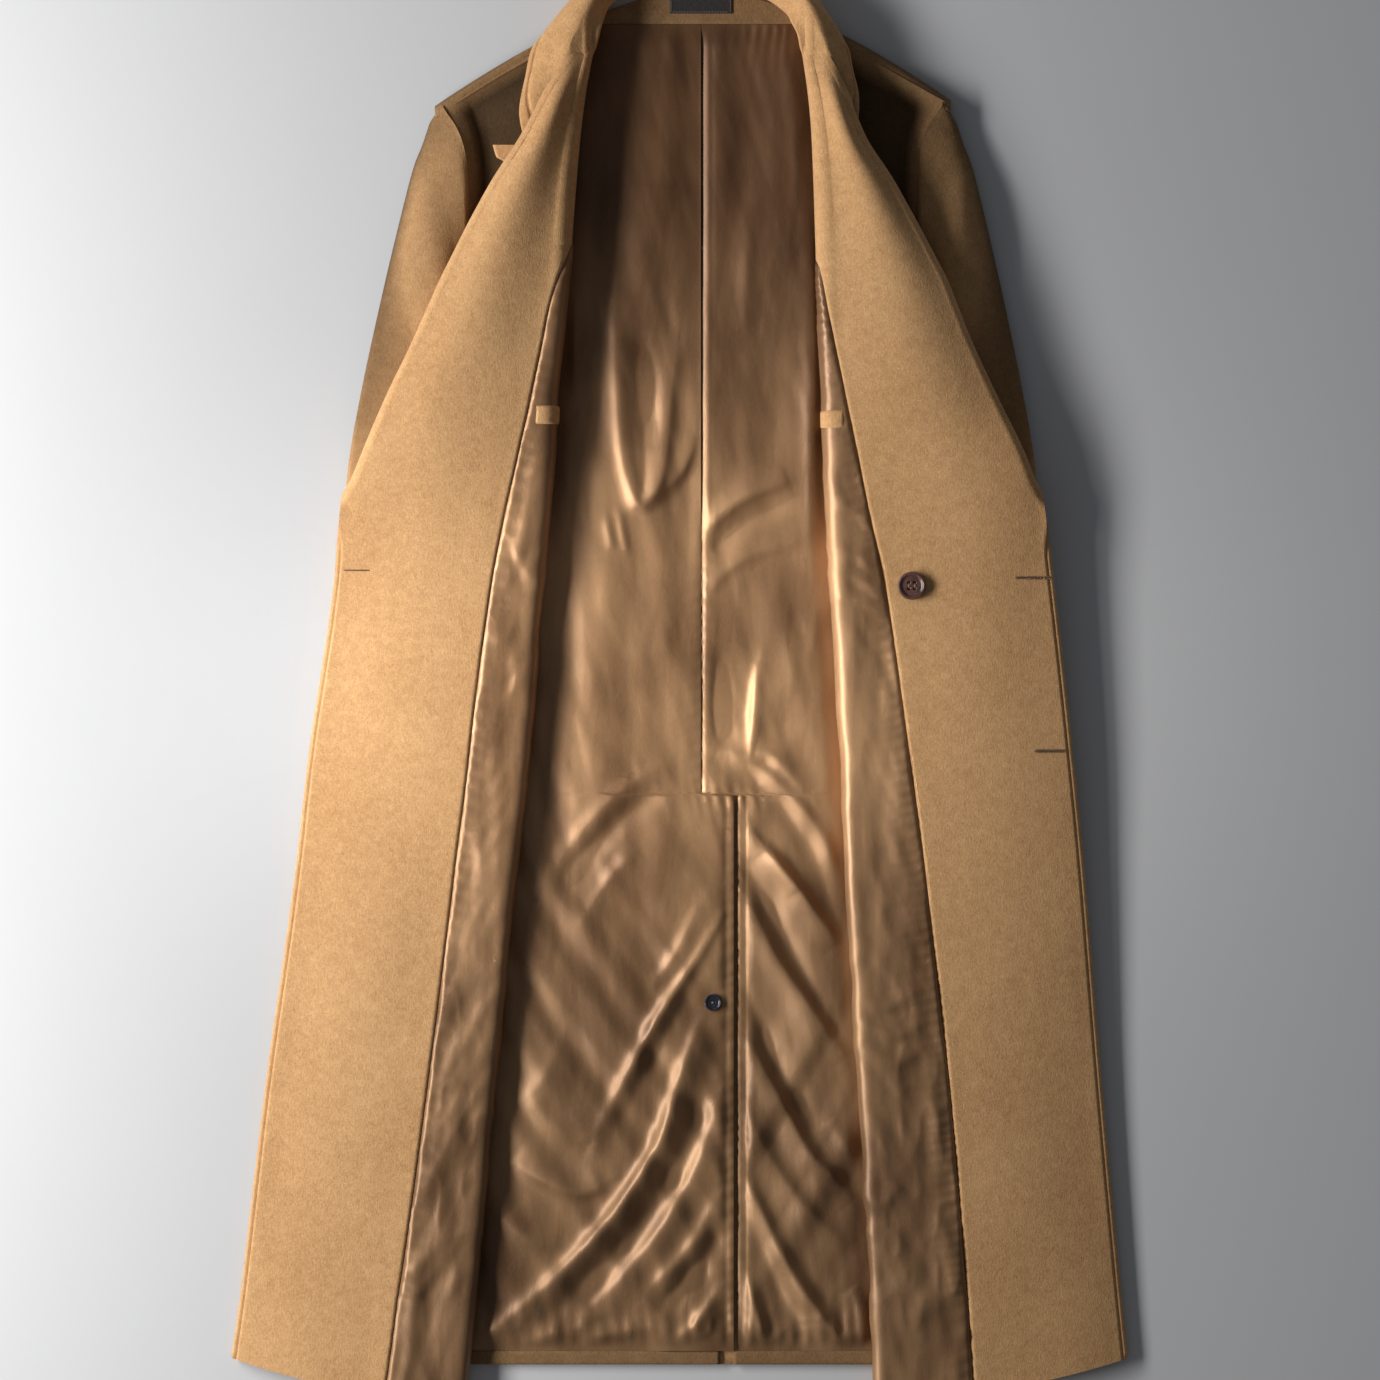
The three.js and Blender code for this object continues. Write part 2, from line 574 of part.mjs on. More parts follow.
// The wool facing at the back neck, and the label on it.
const NECK_LEFT = -75;
const NECK_RIGHT = 86;
const NECK_HEIGHT = 1197.5;
const NECK_CURVE = 0.0026;
const neckTop = (x) => NECK_HEIGHT - (x - CENTRE_BACK) ** 2 * NECK_CURVE;
const neckFacing = bandGrid([1, 0.5, 0], 8, (level, share) => {
  const x = mix(NECK_LEFT, NECK_RIGHT, share);
  return new THREE.Vector3(x, mix(LINING_TOP, neckTop(x), level), ON_BACK);
});
add("back_neck_facing", strip(neckFacing, FACING), WOOL_CLOTH);

const LABEL_WIDTH = 55;
const LABEL_TOP = 1194;
const LABEL_BOTTOM = 1178;
const labelGrid = bandGrid([LABEL_TOP, LABEL_BOTTOM], 2, (y, share) =>
  new THREE.Vector3(CENTRE_BACK + (share - 0.5) * LABEL_WIDTH, y, ON_BACK + FACING + SEAM_GAP));
add("label", strip(labelGrid, LABEL), LABEL_CLOTH);

// The collar: each section is a smooth line through its four places.
function collarSection(row, sign) {
  const places = COLLAR_COLUMNS.map((name) => {
    const [out, y, z] = row[name];
    return new THREE.Vector3(out * sign, y, z);
  });
  return new THREE.CatmullRomCurve3(places, false, "centripetal").getPoints(9);
}

const collarGrid = [
  ...COLLAR_LEFT.map((row) => collarSection(row, -1)),
  collarSection(COLLAR_CENTRE, -1),
  ...COLLAR_RIGHT.map((row) => collarSection(row, 1)).reverse(),
];
add("collar", wall(collarGrid, COLLAR), WOOL_CLOTH);

// The sleeves: two pieces of cloth that meet at the outer and the inner edge. The upper one swells, and
// the under one lies low outside the armhole and rises over the front.
function sleeveLine(row, side, heights) {
  const [top, cuff] = [SLEEVE[0].outer[1], SLEEVE.at(-1).outer[1]];
  const shift = side === "right" ? (RIGHT_SLEEVE_SHIFT * (row.outer[1] - cuff)) / (top - cuff) : 0;
  return Array.from({ length: SLEEVE_COLUMNS + 1 }, (_, i) => {
    const t = i / SLEEVE_COLUMNS;
    const [x, y] = [0, 1].map((k) => {
      const bend = 2 * row.via[k] - (row.outer[k] + row.inner[k]) / 2;
      return mix(mix(row.outer[k], bend, t), mix(bend, row.inner[k], t), t);
    });
    return new THREE.Vector3((x + shift) * mirrored(side), y, heights(row, t));
  });
}

function sleeveTopHeight(row, t) {
  const edge = mix(row.outZ, row.inZ, t) + SLEEVE_EDGE_LIFT;
  return mix(edge, row.top, Math.sin(Math.PI * t) ** 0.7);
}

function sleeveUnderHeight(row, t) {
  const outer = row.outZ - SLEEVE_EDGE_LIFT;
  const inner = row.inZ - SLEEVE_EDGE_LIFT;
  return along([[0, outer], [0.16, row.low], [row.rise - 0.2, row.low], [row.rise, inner]], t);
}

function addSleeve(side) {
  const make = (name, heights) => {
    const grid = SLEEVE.map((row) => sleeveLine(row, side, heights));
    add(name, strip(lifted(grid, -WOOL / 2), WOOL), WOOL_CLOTH);
  };
  make(`sleeve_top_${side}`, sleeveTopHeight);
  make(`sleeve_under_${side}`, sleeveUnderHeight);
}

addSleeve("left");
addSleeve("right");

// The wool ends of the inside pockets, on the front linings at the fold.
function addPocketTab(side, fronts, centre) {
  const sign = mirrored(side);
  const valueAt = (name, y) => along(fronts.map((row) => [row.y, row[name]]).reverse(), y);
  const levelAt = (y) => {
    const columns = Object.fromEntries(FRONT_COLUMNS.map((name) => [name, valueAt(name, y)]));
    return frontLevel({ ...columns, roll: 1 }, false).slice(FOLD_START + 2, FOLD_END + 1);
  };
  const grid = [centre + TAB_HALF, centre - TAB_HALF].map((y) =>
    levelAt(y).map(([out, , z]) => new THREE.Vector3(out * sign, y, z)),
  );
  const skin = WOOL / 2 + COVER_GAP + SATIN + SEAM_GAP * 2;
  const normals = normalsOf(grid);
  add(
    `pocket_tab_${side}`,
    wallBetween(movedOut(grid, sign * skin, normals), movedOut(grid, sign * (skin + TAB), normals)),
    WOOL_CLOTH,
  );
}

const LEFT_TAB_LEVEL = 827;
const RIGHT_TAB_LEVEL = 823;
addPocketTab("left", FRONT_LEFT, LEFT_TAB_LEVEL);
addPocketTab("right", FRONT_RIGHT, RIGHT_TAB_LEVEL);

const FRONT_BUTTON_THICKNESS = 4;
const STITCH_SLACK = 0.4;
const SHANK_OUTSIDE = 0.5;

// A sewn-on button: a dished disc with a rim, turned about its own axis.
function buttonGeometry(radius, thickness) {
  const rim = radius * 0.14;
  const profile = [
    [0, 0],
    [radius * 0.82, 0],
    [radius, thickness * 0.35],
    [radius, thickness * 0.75],
    [radius - rim * 0.5, thickness],
    [radius - rim * 1.5, thickness * 0.92],
    [radius * 0.62, thickness * 0.62],
    [0, thickness * 0.62],
  ].map(([x, y]) => new THREE.Vector2(x, y));
  return new THREE.LatheGeometry(profile, 20).rotateX(Math.PI / 2);
}

// Seats a button on a front at a level and a distance out, on its facing or, turned over, on its outside.
function addFrontButton(name, grid, { y, out, radius }, onFacing) {
  const levels = grid.map((level) => level[FOLD_END + 2].y);
  const r = levels.findIndex((level) => level < y) - 1;
  const drop = levels[r] - levels[r + 1];
  const share = (levels[r] - y) / drop;
  const heightOf = (level) => along(level.slice(FOLD_END).map((p) => [Math.abs(p.x), p.z]), out);
  const [upper, lower] = [heightOf(grid[r]), heightOf(grid[r + 1])];
  const mesh = add(name, buttonGeometry(radius, FRONT_BUTTON_THICKNESS), BUTTON_HORN);
  const cover = onFacing ? COVER_GAP + FACING : SHANK_OUTSIDE;
  const lift = WOOL / 2 + cover + SEAM_GAP + STITCH_SLACK;
  const slope = Math.atan2(lower - upper, drop);
  const height = mix(upper, lower, share) + (onFacing ? lift : -lift);
  mesh.position.set(out * Math.sign(grid[0][0].x), y, height);
  mesh.rotation.set(onFacing ? slope : Math.PI + slope, 0, 0);
}

const INSIDE_BUTTON = { y: 678.6, out: 192.8, radius: 12.2 };
const UPPER_BUTTON = { y: 686, out: 222, radius: 14 };
const LOWER_BUTTON = { y: 536, out: 236, radius: 14 };
addFrontButton("inside_button", frontRight, INSIDE_BUTTON, true);
addFrontButton("front_button_upper", frontLeft, UPPER_BUTTON, false);
addFrontButton("front_button_lower", frontLeft, LOWER_BUTTON, false);

const VENT_BUTTON = { x: 20, y: 315.8, radius: 7.4, thickness: 3.2, lift: 1.5 };
const ventButtonShape = buttonGeometry(VENT_BUTTON.radius, VENT_BUTTON.thickness);
const ventButton = add("vent_button", ventButtonShape, SNAP_ENAMEL);
const ventButtonSeat = 2 * ON_BACK + SATIN + SEAM_GAP + VENT_BUTTON.lift;
ventButton.position.set(VENT_BUTTON.x, VENT_BUTTON.y, ventButtonSeat);

// The origin goes to the middle of the underside.
coat.updateMatrixWorld(true);
const box = new THREE.Box3().setFromObject(coat, true);
const middle = box.getCenter(new THREE.Vector3());
coat.position.set(-middle.x, -middle.y, -box.min.z);

export default coat;
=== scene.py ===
"""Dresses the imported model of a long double-breasted wool overcoat that lies open on its back."""

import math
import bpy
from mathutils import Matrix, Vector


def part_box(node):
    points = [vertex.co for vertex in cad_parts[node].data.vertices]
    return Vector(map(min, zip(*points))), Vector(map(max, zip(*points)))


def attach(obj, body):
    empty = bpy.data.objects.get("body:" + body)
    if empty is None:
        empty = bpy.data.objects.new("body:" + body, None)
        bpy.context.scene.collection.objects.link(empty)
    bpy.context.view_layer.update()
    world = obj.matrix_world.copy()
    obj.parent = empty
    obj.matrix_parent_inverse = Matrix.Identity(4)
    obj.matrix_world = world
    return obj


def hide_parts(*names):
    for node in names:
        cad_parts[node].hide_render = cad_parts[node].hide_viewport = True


bl_info = {
    "name": "Laid-open overcoat",
    "version": (1, 0, 0),
    "blender": (4, 5, 0),
    "location": "3D View > Sidebar > Overcoat",
    "description": "Makes the cloth, lining, seams and buttons of a wool overcoat laid open on its back",
    "category": "Object",
}

import bmesh
import bpy
import numpy as np
from bpy.props import FloatProperty, FloatVectorProperty, PointerProperty
from bpy.types import Operator, Panel, PropertyGroup
from mathutils import Vector

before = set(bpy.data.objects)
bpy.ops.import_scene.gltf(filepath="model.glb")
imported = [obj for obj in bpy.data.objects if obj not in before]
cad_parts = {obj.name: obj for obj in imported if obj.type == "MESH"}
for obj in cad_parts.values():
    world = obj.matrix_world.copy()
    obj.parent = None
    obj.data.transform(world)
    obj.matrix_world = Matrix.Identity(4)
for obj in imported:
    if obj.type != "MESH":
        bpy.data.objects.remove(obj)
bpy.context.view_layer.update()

# Sizes are in millimetres. Places are the pattern's own: x from the photo's middle, y up from the back hem.

PHOTO_PIXELS = 1380
MM_A_PIXEL = 0.87
VIEW_LEVEL = 588.1
WOOL = 2.2
FACING = 1.8
SATIN = 1.0
SEAM_GAP = 0.3
COVER_GAP = 0.97
COVER = WOOL / 2 + COVER_GAP
CENTRE_BACK = 9.6
HEM_DEPTH = 11.5
FRONT_HEM_DROP = 28.7
FRONT_HEM_RISE = 34.8
LINING_TOP = 1169
LINING_UNDER_FRONT = 40
FACING_INSET = 4.5
BREAK_LEVEL = 740
ROLL_RADIUS = 4.5
ROLL_RETURN = 5
SHOULDER_ROLL = 6
SHOULDER_RISE = 13.5
SHOULDER_SLOPE = 0.62
SHOULDER_START = 78
UNDERARM_LEVEL = 845
HEM_LEFT_END, HEM_RIGHT_END = -197, 163
HEM_LEFT_AT_VENT = 26
VENT_TOP = 497
VENT_SLIT_LEFT = 38
VENT_SLIT_RIGHT = 41.8
ON_BACK = WOOL + SEAM_GAP
LINING_MID = ON_BACK + SATIN / 2
NECK_LEFT, NECK_RIGHT = -80, 91
NECK_TOP = 1197.5
NECK_CURVE = 0.0026
LABEL_TOP = 1194
LABEL_BOTTOM = 1178
LABEL_HALF_WIDTH = 27.5
LABEL_MIDDLE = (CENTRE_BACK, 1186)

FRONT_VALUES = ("y", "near", "far", "side", "fold", "edge", "seam", "low", "high", "crown", "rim", "roll")
FRONTS = {
    "left": (
        (1136, 1159, 1084, 218, 82, 108, -16, 15, 36, 42, 40, 0),
        (1067, 1080, 1048, 198, 95, 148, -14, 13.5, 36, 44, 41, 0.75),
        (1032, 1038, 1024, 195, 99, 170.5, -8, 12, 36, 44.5, 41, 1),
        (988, 990, 985, 195, 102.5, 195, 0.6, 10, 35.5, 44, 40.5, 1),
        (966, 966, 966, 198, 104, 206, 4.6, 9, 35.2, 43.5, 40, 1),
        (945, 945, 945, 202, 105.5, 216.5, 10, 8, 35, 43, 39.5, 1),
        (919, 919, 918, 205, 108, 228, 14.8, 7.3, 34.5, 42.3, 38.8, 1),
        (893, 893, 890, 212, 110.5, 239.5, 17.4, 6.8, 34, 41.5, 38, 1),
        (840, 840, 840, 264, 115.5, 265, 23.5, 6.7, 33, 39.5, 36, 1),
        (788, 788, 788, 265, 117.5, 287, 33, 6.7, 31.5, 37, 33.5, 1),
        (740, 740, 740, 267, 122, 304.5, 39.2, 6.7, 30, 34, 28, 0),
        (684, 684, 684, 269, 128, 309.5, 44, 6.7, 28.5, 31.5, 24, 0),
        (527, 527, 527, 277, 140, 332.5, 52.6, 6.7, 25, 27.5, 18.5, 0),
        (432, 432, 432, 282, 151.5, 343.5, 53.1, 6.7, 23, 24, 14, 0),
        (240, 240, 240, 291, 170.5, 370.5, 58.3, 6.7, 20, 19.5, 8, 0),
        (57, 57, 57, 298, 188, 392.5, 66.6, 6.7, 18, 17.5, 5.5, 0),
        (0, 0, 0, 300, 196, 400, 69.6, 6.7, 18, 17, 5, 0),
    ),
    "right": (
        (1136, 1150, 1090, 223, 96.5, 122.5, -16, 15, 36, 42, 40, 0),
        (1067, 1078, 1052, 203, 106, 153, -14, 13.5, 36, 44, 41, 0.75),
        (1032, 1038, 1026, 201, 108, 175.5, -10.2, 12, 36, 44.5, 41, 1),
        (988, 990, 985, 200, 109.5, 200, -5.5, 10, 35.5, 44, 40.5, 1),
        (966, 966, 966, 202, 110, 211.5, 2, 9, 35.2, 43.5, 40, 1),
        (945, 945, 945, 205, 110.5, 222.5, 5.9, 8, 35, 43, 39.5, 1),
        (919, 919, 918, 208, 111.3, 233, 9.1, 7.3, 34.5, 42.3, 38.8, 1),
        (893, 893, 890, 215, 112, 243.5, 13.2, 6.8, 34, 41.5, 38, 1),
        (840, 840, 840, 266, 115.5, 268, 20.5, 6.7, 33, 39.5, 36, 1),
        (788, 788, 788, 267, 116.5, 292.5, 30.4, 6.7, 31.5, 37, 33.5, 1),
        (740, 740, 740, 269, 119, 309, 37.4, 6.7, 30, 34, 28, 0),
        (684, 684, 684, 271, 122, 316.5, 47, 6.7, 28.5, 31.5, 24, 0),
        (527, 527, 527, 279, 131.5, 334, 60, 6.7, 25, 27.5, 18.5, 0),
        (432, 432, 432, 284, 135.5, 343.5, 68.8, 6.7, 23, 24, 14, 0),
        (240, 240, 240, 293, 148, 359.5, 78.3, 6.7, 20, 19.5, 8, 0),
        (57, 57, 57, 300, 158.5, 376.5, 83.6, 6.7, 18, 17.5, 5.5, 0),
        (0, 0, 0, 302, 162, 382, 85.3, 6.7, 18, 17, 5, 0),
    ),
}

# The shoulders and armholes of the back: y at the centre, then each half's level and reach at the side.
BACK_TOP = (
    (858, 858, 243, 858, 245),
    (900, 893, 211, 893, 214),
    (960, 945, 202, 945, 205),
    (1030, 1006, 195, 1006, 200),
    (1090, 1045, 198, 1048, 202),
    (1150, 1075, 206, 1080, 210),
    (1197, 1092, 220, 1097, 225),
)

# The sleeves, from the armhole down: outer edge, middle, inner edge, then the heights of the outer edge,
# the inner edge, the upper cloth and the under cloth, and how far across the under cloth starts to rise.
SLEEVE = (
    ((225, 1088), (200.5, 1036), (203, 968), 8, 12, 14, 1.4, 0.7),
    ((233, 1064), (212, 1000), (203.5, 935), 7.2, 12.2, 18.5, 1.4, 0.75),
    ((242, 1040), (222, 965), (202, 905), 6.4, 12, 22, 1.5, 0.8),
    ((256, 985), (230, 920), (194, 868), 5.8, 11.6, 20, 3, 0.62),
    ((270, 925), (226, 878), (180, 838), 7.4, 11.2, 17.4, 7, 0.4),
    ((286, 850), (226, 823), (165, 800), 10.9, 11.1, 16, 9.8, 0.3),
    ((298, 780), (228, 772), (158, 765), 11.1, 11.1, 14.8, 9.8, 0.3),
    ((303, 700), (232, 697), (162, 695), 11.1, 11.1, 14.8, 9.8, 0.3),
    ((299, 590), (234, 589), (168, 588), 11.1, 11.1, 14.8, 9.8, 0.3),
    ((294, 475), (233, 475), (172, 475), 11.1, 11.1, 14.8, 9.8, 0.3),
)
ARM_TOP, CUFF_LEVEL = 1088, 475
RIGHT_SLEEVE_SHIFT = 5.5

# How far each front's top laps over the rolled shoulder, at the neck and at the armhole.
SHOULDER_LAP = {"left": (18.0, 12.5), "right": (15.0, 10.0)}
SLEEVE_LIFT = 1.15

# The collar's sections from the end of the stand to the centre back: neck seam, ridge, belly, edge.
COLLARS = {
    "left": (
        ((79.5, 1143.5, 34), (108, 1140, 39.5), (119.5, 1104, 29), (145, 1069, 23)),
        ((78.5, 1154, 31), (103.5, 1151, 38.5), (126, 1128, 31), (148.5, 1092, 23)),
        ((77.5, 1163, 27), (97.5, 1162, 38), (123, 1147, 31), (143.5, 1120, 22.5)),
        ((75, 1174, 21), (90, 1177, 37), (116.5, 1166, 30), (137, 1146, 20)),
        ((69, 1186, 12), (81, 1194, 35), (111, 1178, 25), (120, 1163, 8)),
        ((52, 1196, 6), (58, 1217, 31), (82, 1209, 16), (87, 1192, 3.5)),
        ((25, 1200.6, 3.6), (27, 1231, 26), (32, 1236, 10), (34, 1212, 1.5)),
    ),
    "right": (
        ((94, 1142.5, 34), (121, 1140, 39.5), (131, 1108, 29), (146, 1078, 23)),
        ((93, 1153, 31), (116.5, 1152, 38.5), (132, 1132, 31), (147, 1102, 23)),
        ((92, 1160, 27), (111, 1163, 38), (130, 1148, 30), (142, 1124, 22.5)),
        ((89, 1169, 21), (105.5, 1175, 37), (125, 1164, 29), (137.5, 1145, 20)),
        ((83, 1179, 12), (97, 1190, 35), (120, 1174, 25), (125, 1162, 8)),
        ((64, 1192, 6), (73, 1213, 31), (95, 1206, 16), (99, 1190, 3.5)),
        ((31, 1199.6, 3.6), (36, 1230, 26), (43, 1235, 10), (46, 1212, 1.5)),
    ),
}
# The collar is free above the first level and lies wholly on the facings below the second. Above the third,
# where the facings end, its seat is measured at the third.
COLLAR_FREE, COLLAR_JOINED, COLLAR_SEAT = 1188, 1144, 1142
COLLAR_CENTRE = ((-CENTRE_BACK, 1201.4, 3.4), (-CENTRE_BACK, 1237, 25), (-CENTRE_BACK, 1242, 9),
                 (-CENTRE_BACK, 1212, 1.5))

# The lapels: y, inner, outer.
LAPELS = {
    "left": (
        (1062, 128, 171.5),
        (1052, 121, 168.5),
        (1040, 116, 162),
        (988, 118, 189),
        (893, 152, 233.5),
        (800, 248, 277),
    ),
    "right": (
        (1062, 128, 149),
        (1040, 122, 164),
        (988, 126, 194),
        (893, 160, 237.5),
        (800, 254, 282),
    ),
}

# Creases of the lining: the places a crease runs through, its height, its width and its lean.
BACK_CREASES = {
    "left": (
        ([(-65, 927), (-63, 867), (-59, 798), (-51, 764), (-43, 750), (-31, 761), (-23, 787), (-17, 847),
          (-11, 887)], 5, 6.1, 0.3),
        ([(-40, 901), (-38, 849), (-40, 797)], -4, 11.3, 0),
        ([(5, 814), (0, 793), (-13, 772), (-39, 752)], 4, 6.1, -0.4),
        ([(-84, 927), (-85, 858), (-83, 788)], -4, 7.8, 0),
        ([(-102, 936), (-101, 893), (-98, 840)], 4, 5.2, 0.3),
        ([(-63, 747), (-59, 727), (-55, 707)], 2, 2.6, 0),
        ([(-73, 740), (-70, 723), (-67, 710)], 1.6, 2.6, 0),
        ([(-108, 771), (-110, 649), (-113, 527), (-117, 405)], -3, 15.7, 0),
        ([(-70, 701), (-78, 614), (-81, 545)], 2.5, 13.9, 0),
        ([(-28, 502), (-57, 479), (-89, 445), (-113, 405)], -4, 7.0, 0),
        ([(-19, 523), (-57, 501), (-91, 466), (-124, 423)], 3, 7.0, 0.3),
        ([(-44, 449), (-70, 423), (-96, 379)], 2.5, 6.1, 0.3),
        ([(32, 396), (8, 355), (-24, 307), (-50, 260), (-81, 200)], 7, 7.0, 0.4),
        ([(44, 412), (19, 364), (-10, 313), (-37, 260), (-66, 204)], -4, 6.1, 0),
        ([(9, 401), (-9, 362), (-30, 331)], 3, 6.1, 0.3),
        ([(12, 305), (-8, 251), (-25, 197), (-59, 141), (-92, 101), (-125, 68), (-177, 23)], 9, 7.8, 0.45),
        ([(30, 292), (10, 240), (-7, 188), (-40, 130), (-73, 90), (-106, 56), (-155, 16)], -5, 9.6, 0),
        ([(24, 231), (9, 179), (-21, 125), (-54, 82), (-91, 42)], 5, 7.0, 0.4),
        ([(-154, 181), (-132, 163), (-97, 150), (-75, 157)], 5, 7.0, 0.4),
        ([(-139, 231), (-117, 207), (-87, 195)], 3, 7.8, 0.3),
        ([(-161, 131), (-139, 110), (-113, 104)], 4, 7.8, 0.3),
        ([(25, 118), (8, 85), (-28, 45)], -4, 6.1, 0),
        ([(23, 144), (2, 104), (-37, 61)], 4, 6.1, 0.3),
        ([(26, 66), (9, 40), (-12, 18)], 4, 5.2, 0.3),
        ([(-44, 31), (-70, 26), (-91, 14)], 3, 5.2, 0),
        ([(-113, 31), (-130, 18), (-165, 12)], 4, 5.2, 0),
        ([(-35, 1032), (-37, 988), (-44, 936)], 2, 13.9, 0),
        ([(-78, 1110), (-76, 1032), (-78, 962)], -2, 12.2, 0),
        ([(-113, 284), (-126, 249), (-148, 223)], 3, 7.8, 0.3),
    ),
    "right": (
        ([(49, 1014), (50, 962), (48, 901)], 3, 6.1, 0),
        ([(107, 997), (110, 901), (109, 840), (105, 701)], 5, 7.0, 0.2),
        ([(74, 901), (77, 840), (70, 780)], -2.5, 10.4, 0),
        ([(13, 727), (44, 753), (87, 771)], 5, 6.1, 0.4),
        ([(19, 710), (49, 735), (91, 753)], -3, 5.2, 0),
        ([(16, 675), (44, 701), (96, 719)], 2.5, 5.2, 0.3),
        ([(60, 613), (57, 581), (53, 527)], 4, 4.3, 0.3),
        ([(28, 629), (27, 579), (29, 534)], -4, 7.8, 0),
        ([(78, 666), (87, 614), (96, 562)], 2.5, 8.7, 0),
        ([(57, 534), (76, 527), (102, 497)], 4, 5.2, 0.3),
        ([(8, 525), (39, 519), (63, 506), (95, 468), (113, 431), (135, 362)], -4, 7.0, 0),
        ([(26, 538), (54, 523), (84, 499), (115, 459), (132, 414)], 4, 6.1, -0.3),
        ([(68, 449), (104, 402), (129, 366)], 5, 5.2, -0.4),
        ([(50, 468), (78, 435), (96, 414)], 4, 5.2, -0.4),
        ([(45, 439), (76, 386), (129, 279)], -4, 6.1, 0),
        ([(49, 405), (75, 355), (106, 310), (136, 266)], 5, 6.1, -0.4),
        ([(45, 332), (63, 294), (81, 251), (113, 204)], -4, 6.1, 0),
        ([(49, 283), (76, 236), (102, 188), (124, 164), (142, 143)], 6, 6.1, -0.4),
        ([(47, 224), (70, 179), (101, 136), (139, 101)], 3.5, 6.1, -0.3),
        ([(44, 170), (62, 132), (89, 79), (115, 42), (129, 23), (155, 24)], 7, 7.0, -0.4),
        ([(48, 144), (64, 101), (87, 49), (103, 18)], -4, 7.0, 0),
        ([(45, 90), (54, 57), (65, 23)], 4, 5.2, -0.3),
        ([(139, 66), (150, 49), (153, 18)], 4, 6.1, 0),
        ([(122, 214), (139, 188), (150, 171)], 3, 5.2, 0),
    ),
}

# Creases of the front linings, which lie between the fold and the facing seam.
FRONT_CREASES = {
    "left": (
        ([(-133, 790), (-142, 745), (-150, 700)], 2.0, 4.5, 0.2),
        ([(-158, 727), (-146, 700), (-131, 675)], 2.6, 5, 0.3),
        ([(-166, 640), (-150, 610), (-140, 560)], 1.8, 7, 0.2),
        ([(-190, 470), (-176, 430), (-170, 380)], 1.6, 8, 0.2),
        ([(-185, 300), (-205, 262), (-222, 240)], 2.4, 8, 0.3),
        ([(-190, 260), (-212, 214), (-232, 196)], 2.4, 7, 0.3),
        ([(-200, 214), (-220, 170), (-244, 140)], 2.6, 8, 0.3),
        ([(-205, 130), (-226, 96), (-250, 78)], 2.6, 7, 0.3),
        ([(-238, 108), (-240, 55), (-246, 16)], 2.2, 5, 0),
        ([(-212, 90), (-226, 60), (-236, 20)], -1.6, 7, 0),
        ([(-196, 350), (-210, 320), (-221, 300)], 1.8, 6, 0.3),
    ),
    "right": (
        ([(122, 712), (146, 704), (160, 690)], 2.4, 4, 0.3),
        ([(124, 690), (150, 684), (166, 668)], 2.6, 4, 0.3),
        ([(126, 668), (152, 664), (170, 650)], 2.2, 4, 0.3),
        ([(128, 752), (144, 742), (158, 728)], 2.0, 4, 0.3),
        ([(140, 640), (148, 560), (156, 470)], 1.8, 7, 0.2),
        ([(170, 600), (178, 540), (190, 470)], 1.4, 6, 0.2),
        ([(146, 320), (170, 312), (196, 326)], 2.4, 4.5, 0.2),
        ([(150, 300), (176, 288), (200, 296)], 2.6, 4.5, 0.2),
        ([(152, 276), (180, 264), (204, 280)], 2.4, 5, 0.2),
        ([(190, 340), (196, 310), (200, 282)], 2.0, 4, 0.2),
        ([(206, 262), (212, 220), (217, 182)], 2.2, 4.5, 0),
        ([(220, 127), (226, 90), (230, 55)], 2.2, 4.5, 0),
        ([(231, 31), (233, 12), (235, -8)], 2.2, 4.5, 0),
        ([(150, 158), (166, 142), (182, 160)], 2.8, 6, 0.2),
        ([(160, 64), (186, 48), (222, 60)], 2.8, 6, 0.2),
        ([(156, 240), (166, 190), (178, 130)], 2.0, 7, 0.2),
        ([(172, 120), (186, 84), (200, 30)], 2.0, 8, 0.2),
    ),
}

# Places and sizes of what is sewn on: buttons by place and radius, buttonholes by front, place, length and
# how far they stand open, pocket tabs by the level of their middle.
INSIDE_BUTTON = (192.8, 678.6, 12.2)
VENT_BUTTON = (20.0, 315.8, 7.4)
VENT_BUTTON_DIMPLE = 15
FRONT_BUTTONS = {"upper": (222, 686, 14), "lower": (236, 536, 14)}
BUTTON_THICKNESS = 4.0
VENT_BUTTON_THICKNESS = 3.2
BUTTONHOLES = (
    ("left", (289.0, 692.0), 22.0, 0.1),
    ("right", (297.5, 685.5), 31.0, 1.0),
    ("right", (313.0, 535.0), 28.0, 1.0),
)
POCKET_TABS = {"left": 827, "right": 823}
POCKET_TAB_HALF = 8
POCKET_TAB_REACH = 12
FACING_PUCKER = 12.0
BUTTON_THREAD = 0.28
LABEL_THREAD = 0.22
BUTTONHOLE_THREAD = 0.27
BUTTONHOLE_STITCH = 0.75

# The distance between a grid's rows, for cloth that follows the fronts' levels.
LINING_STEP = 2.2
FACING_STEP = 3.4
FRONT_STEP = 6.0

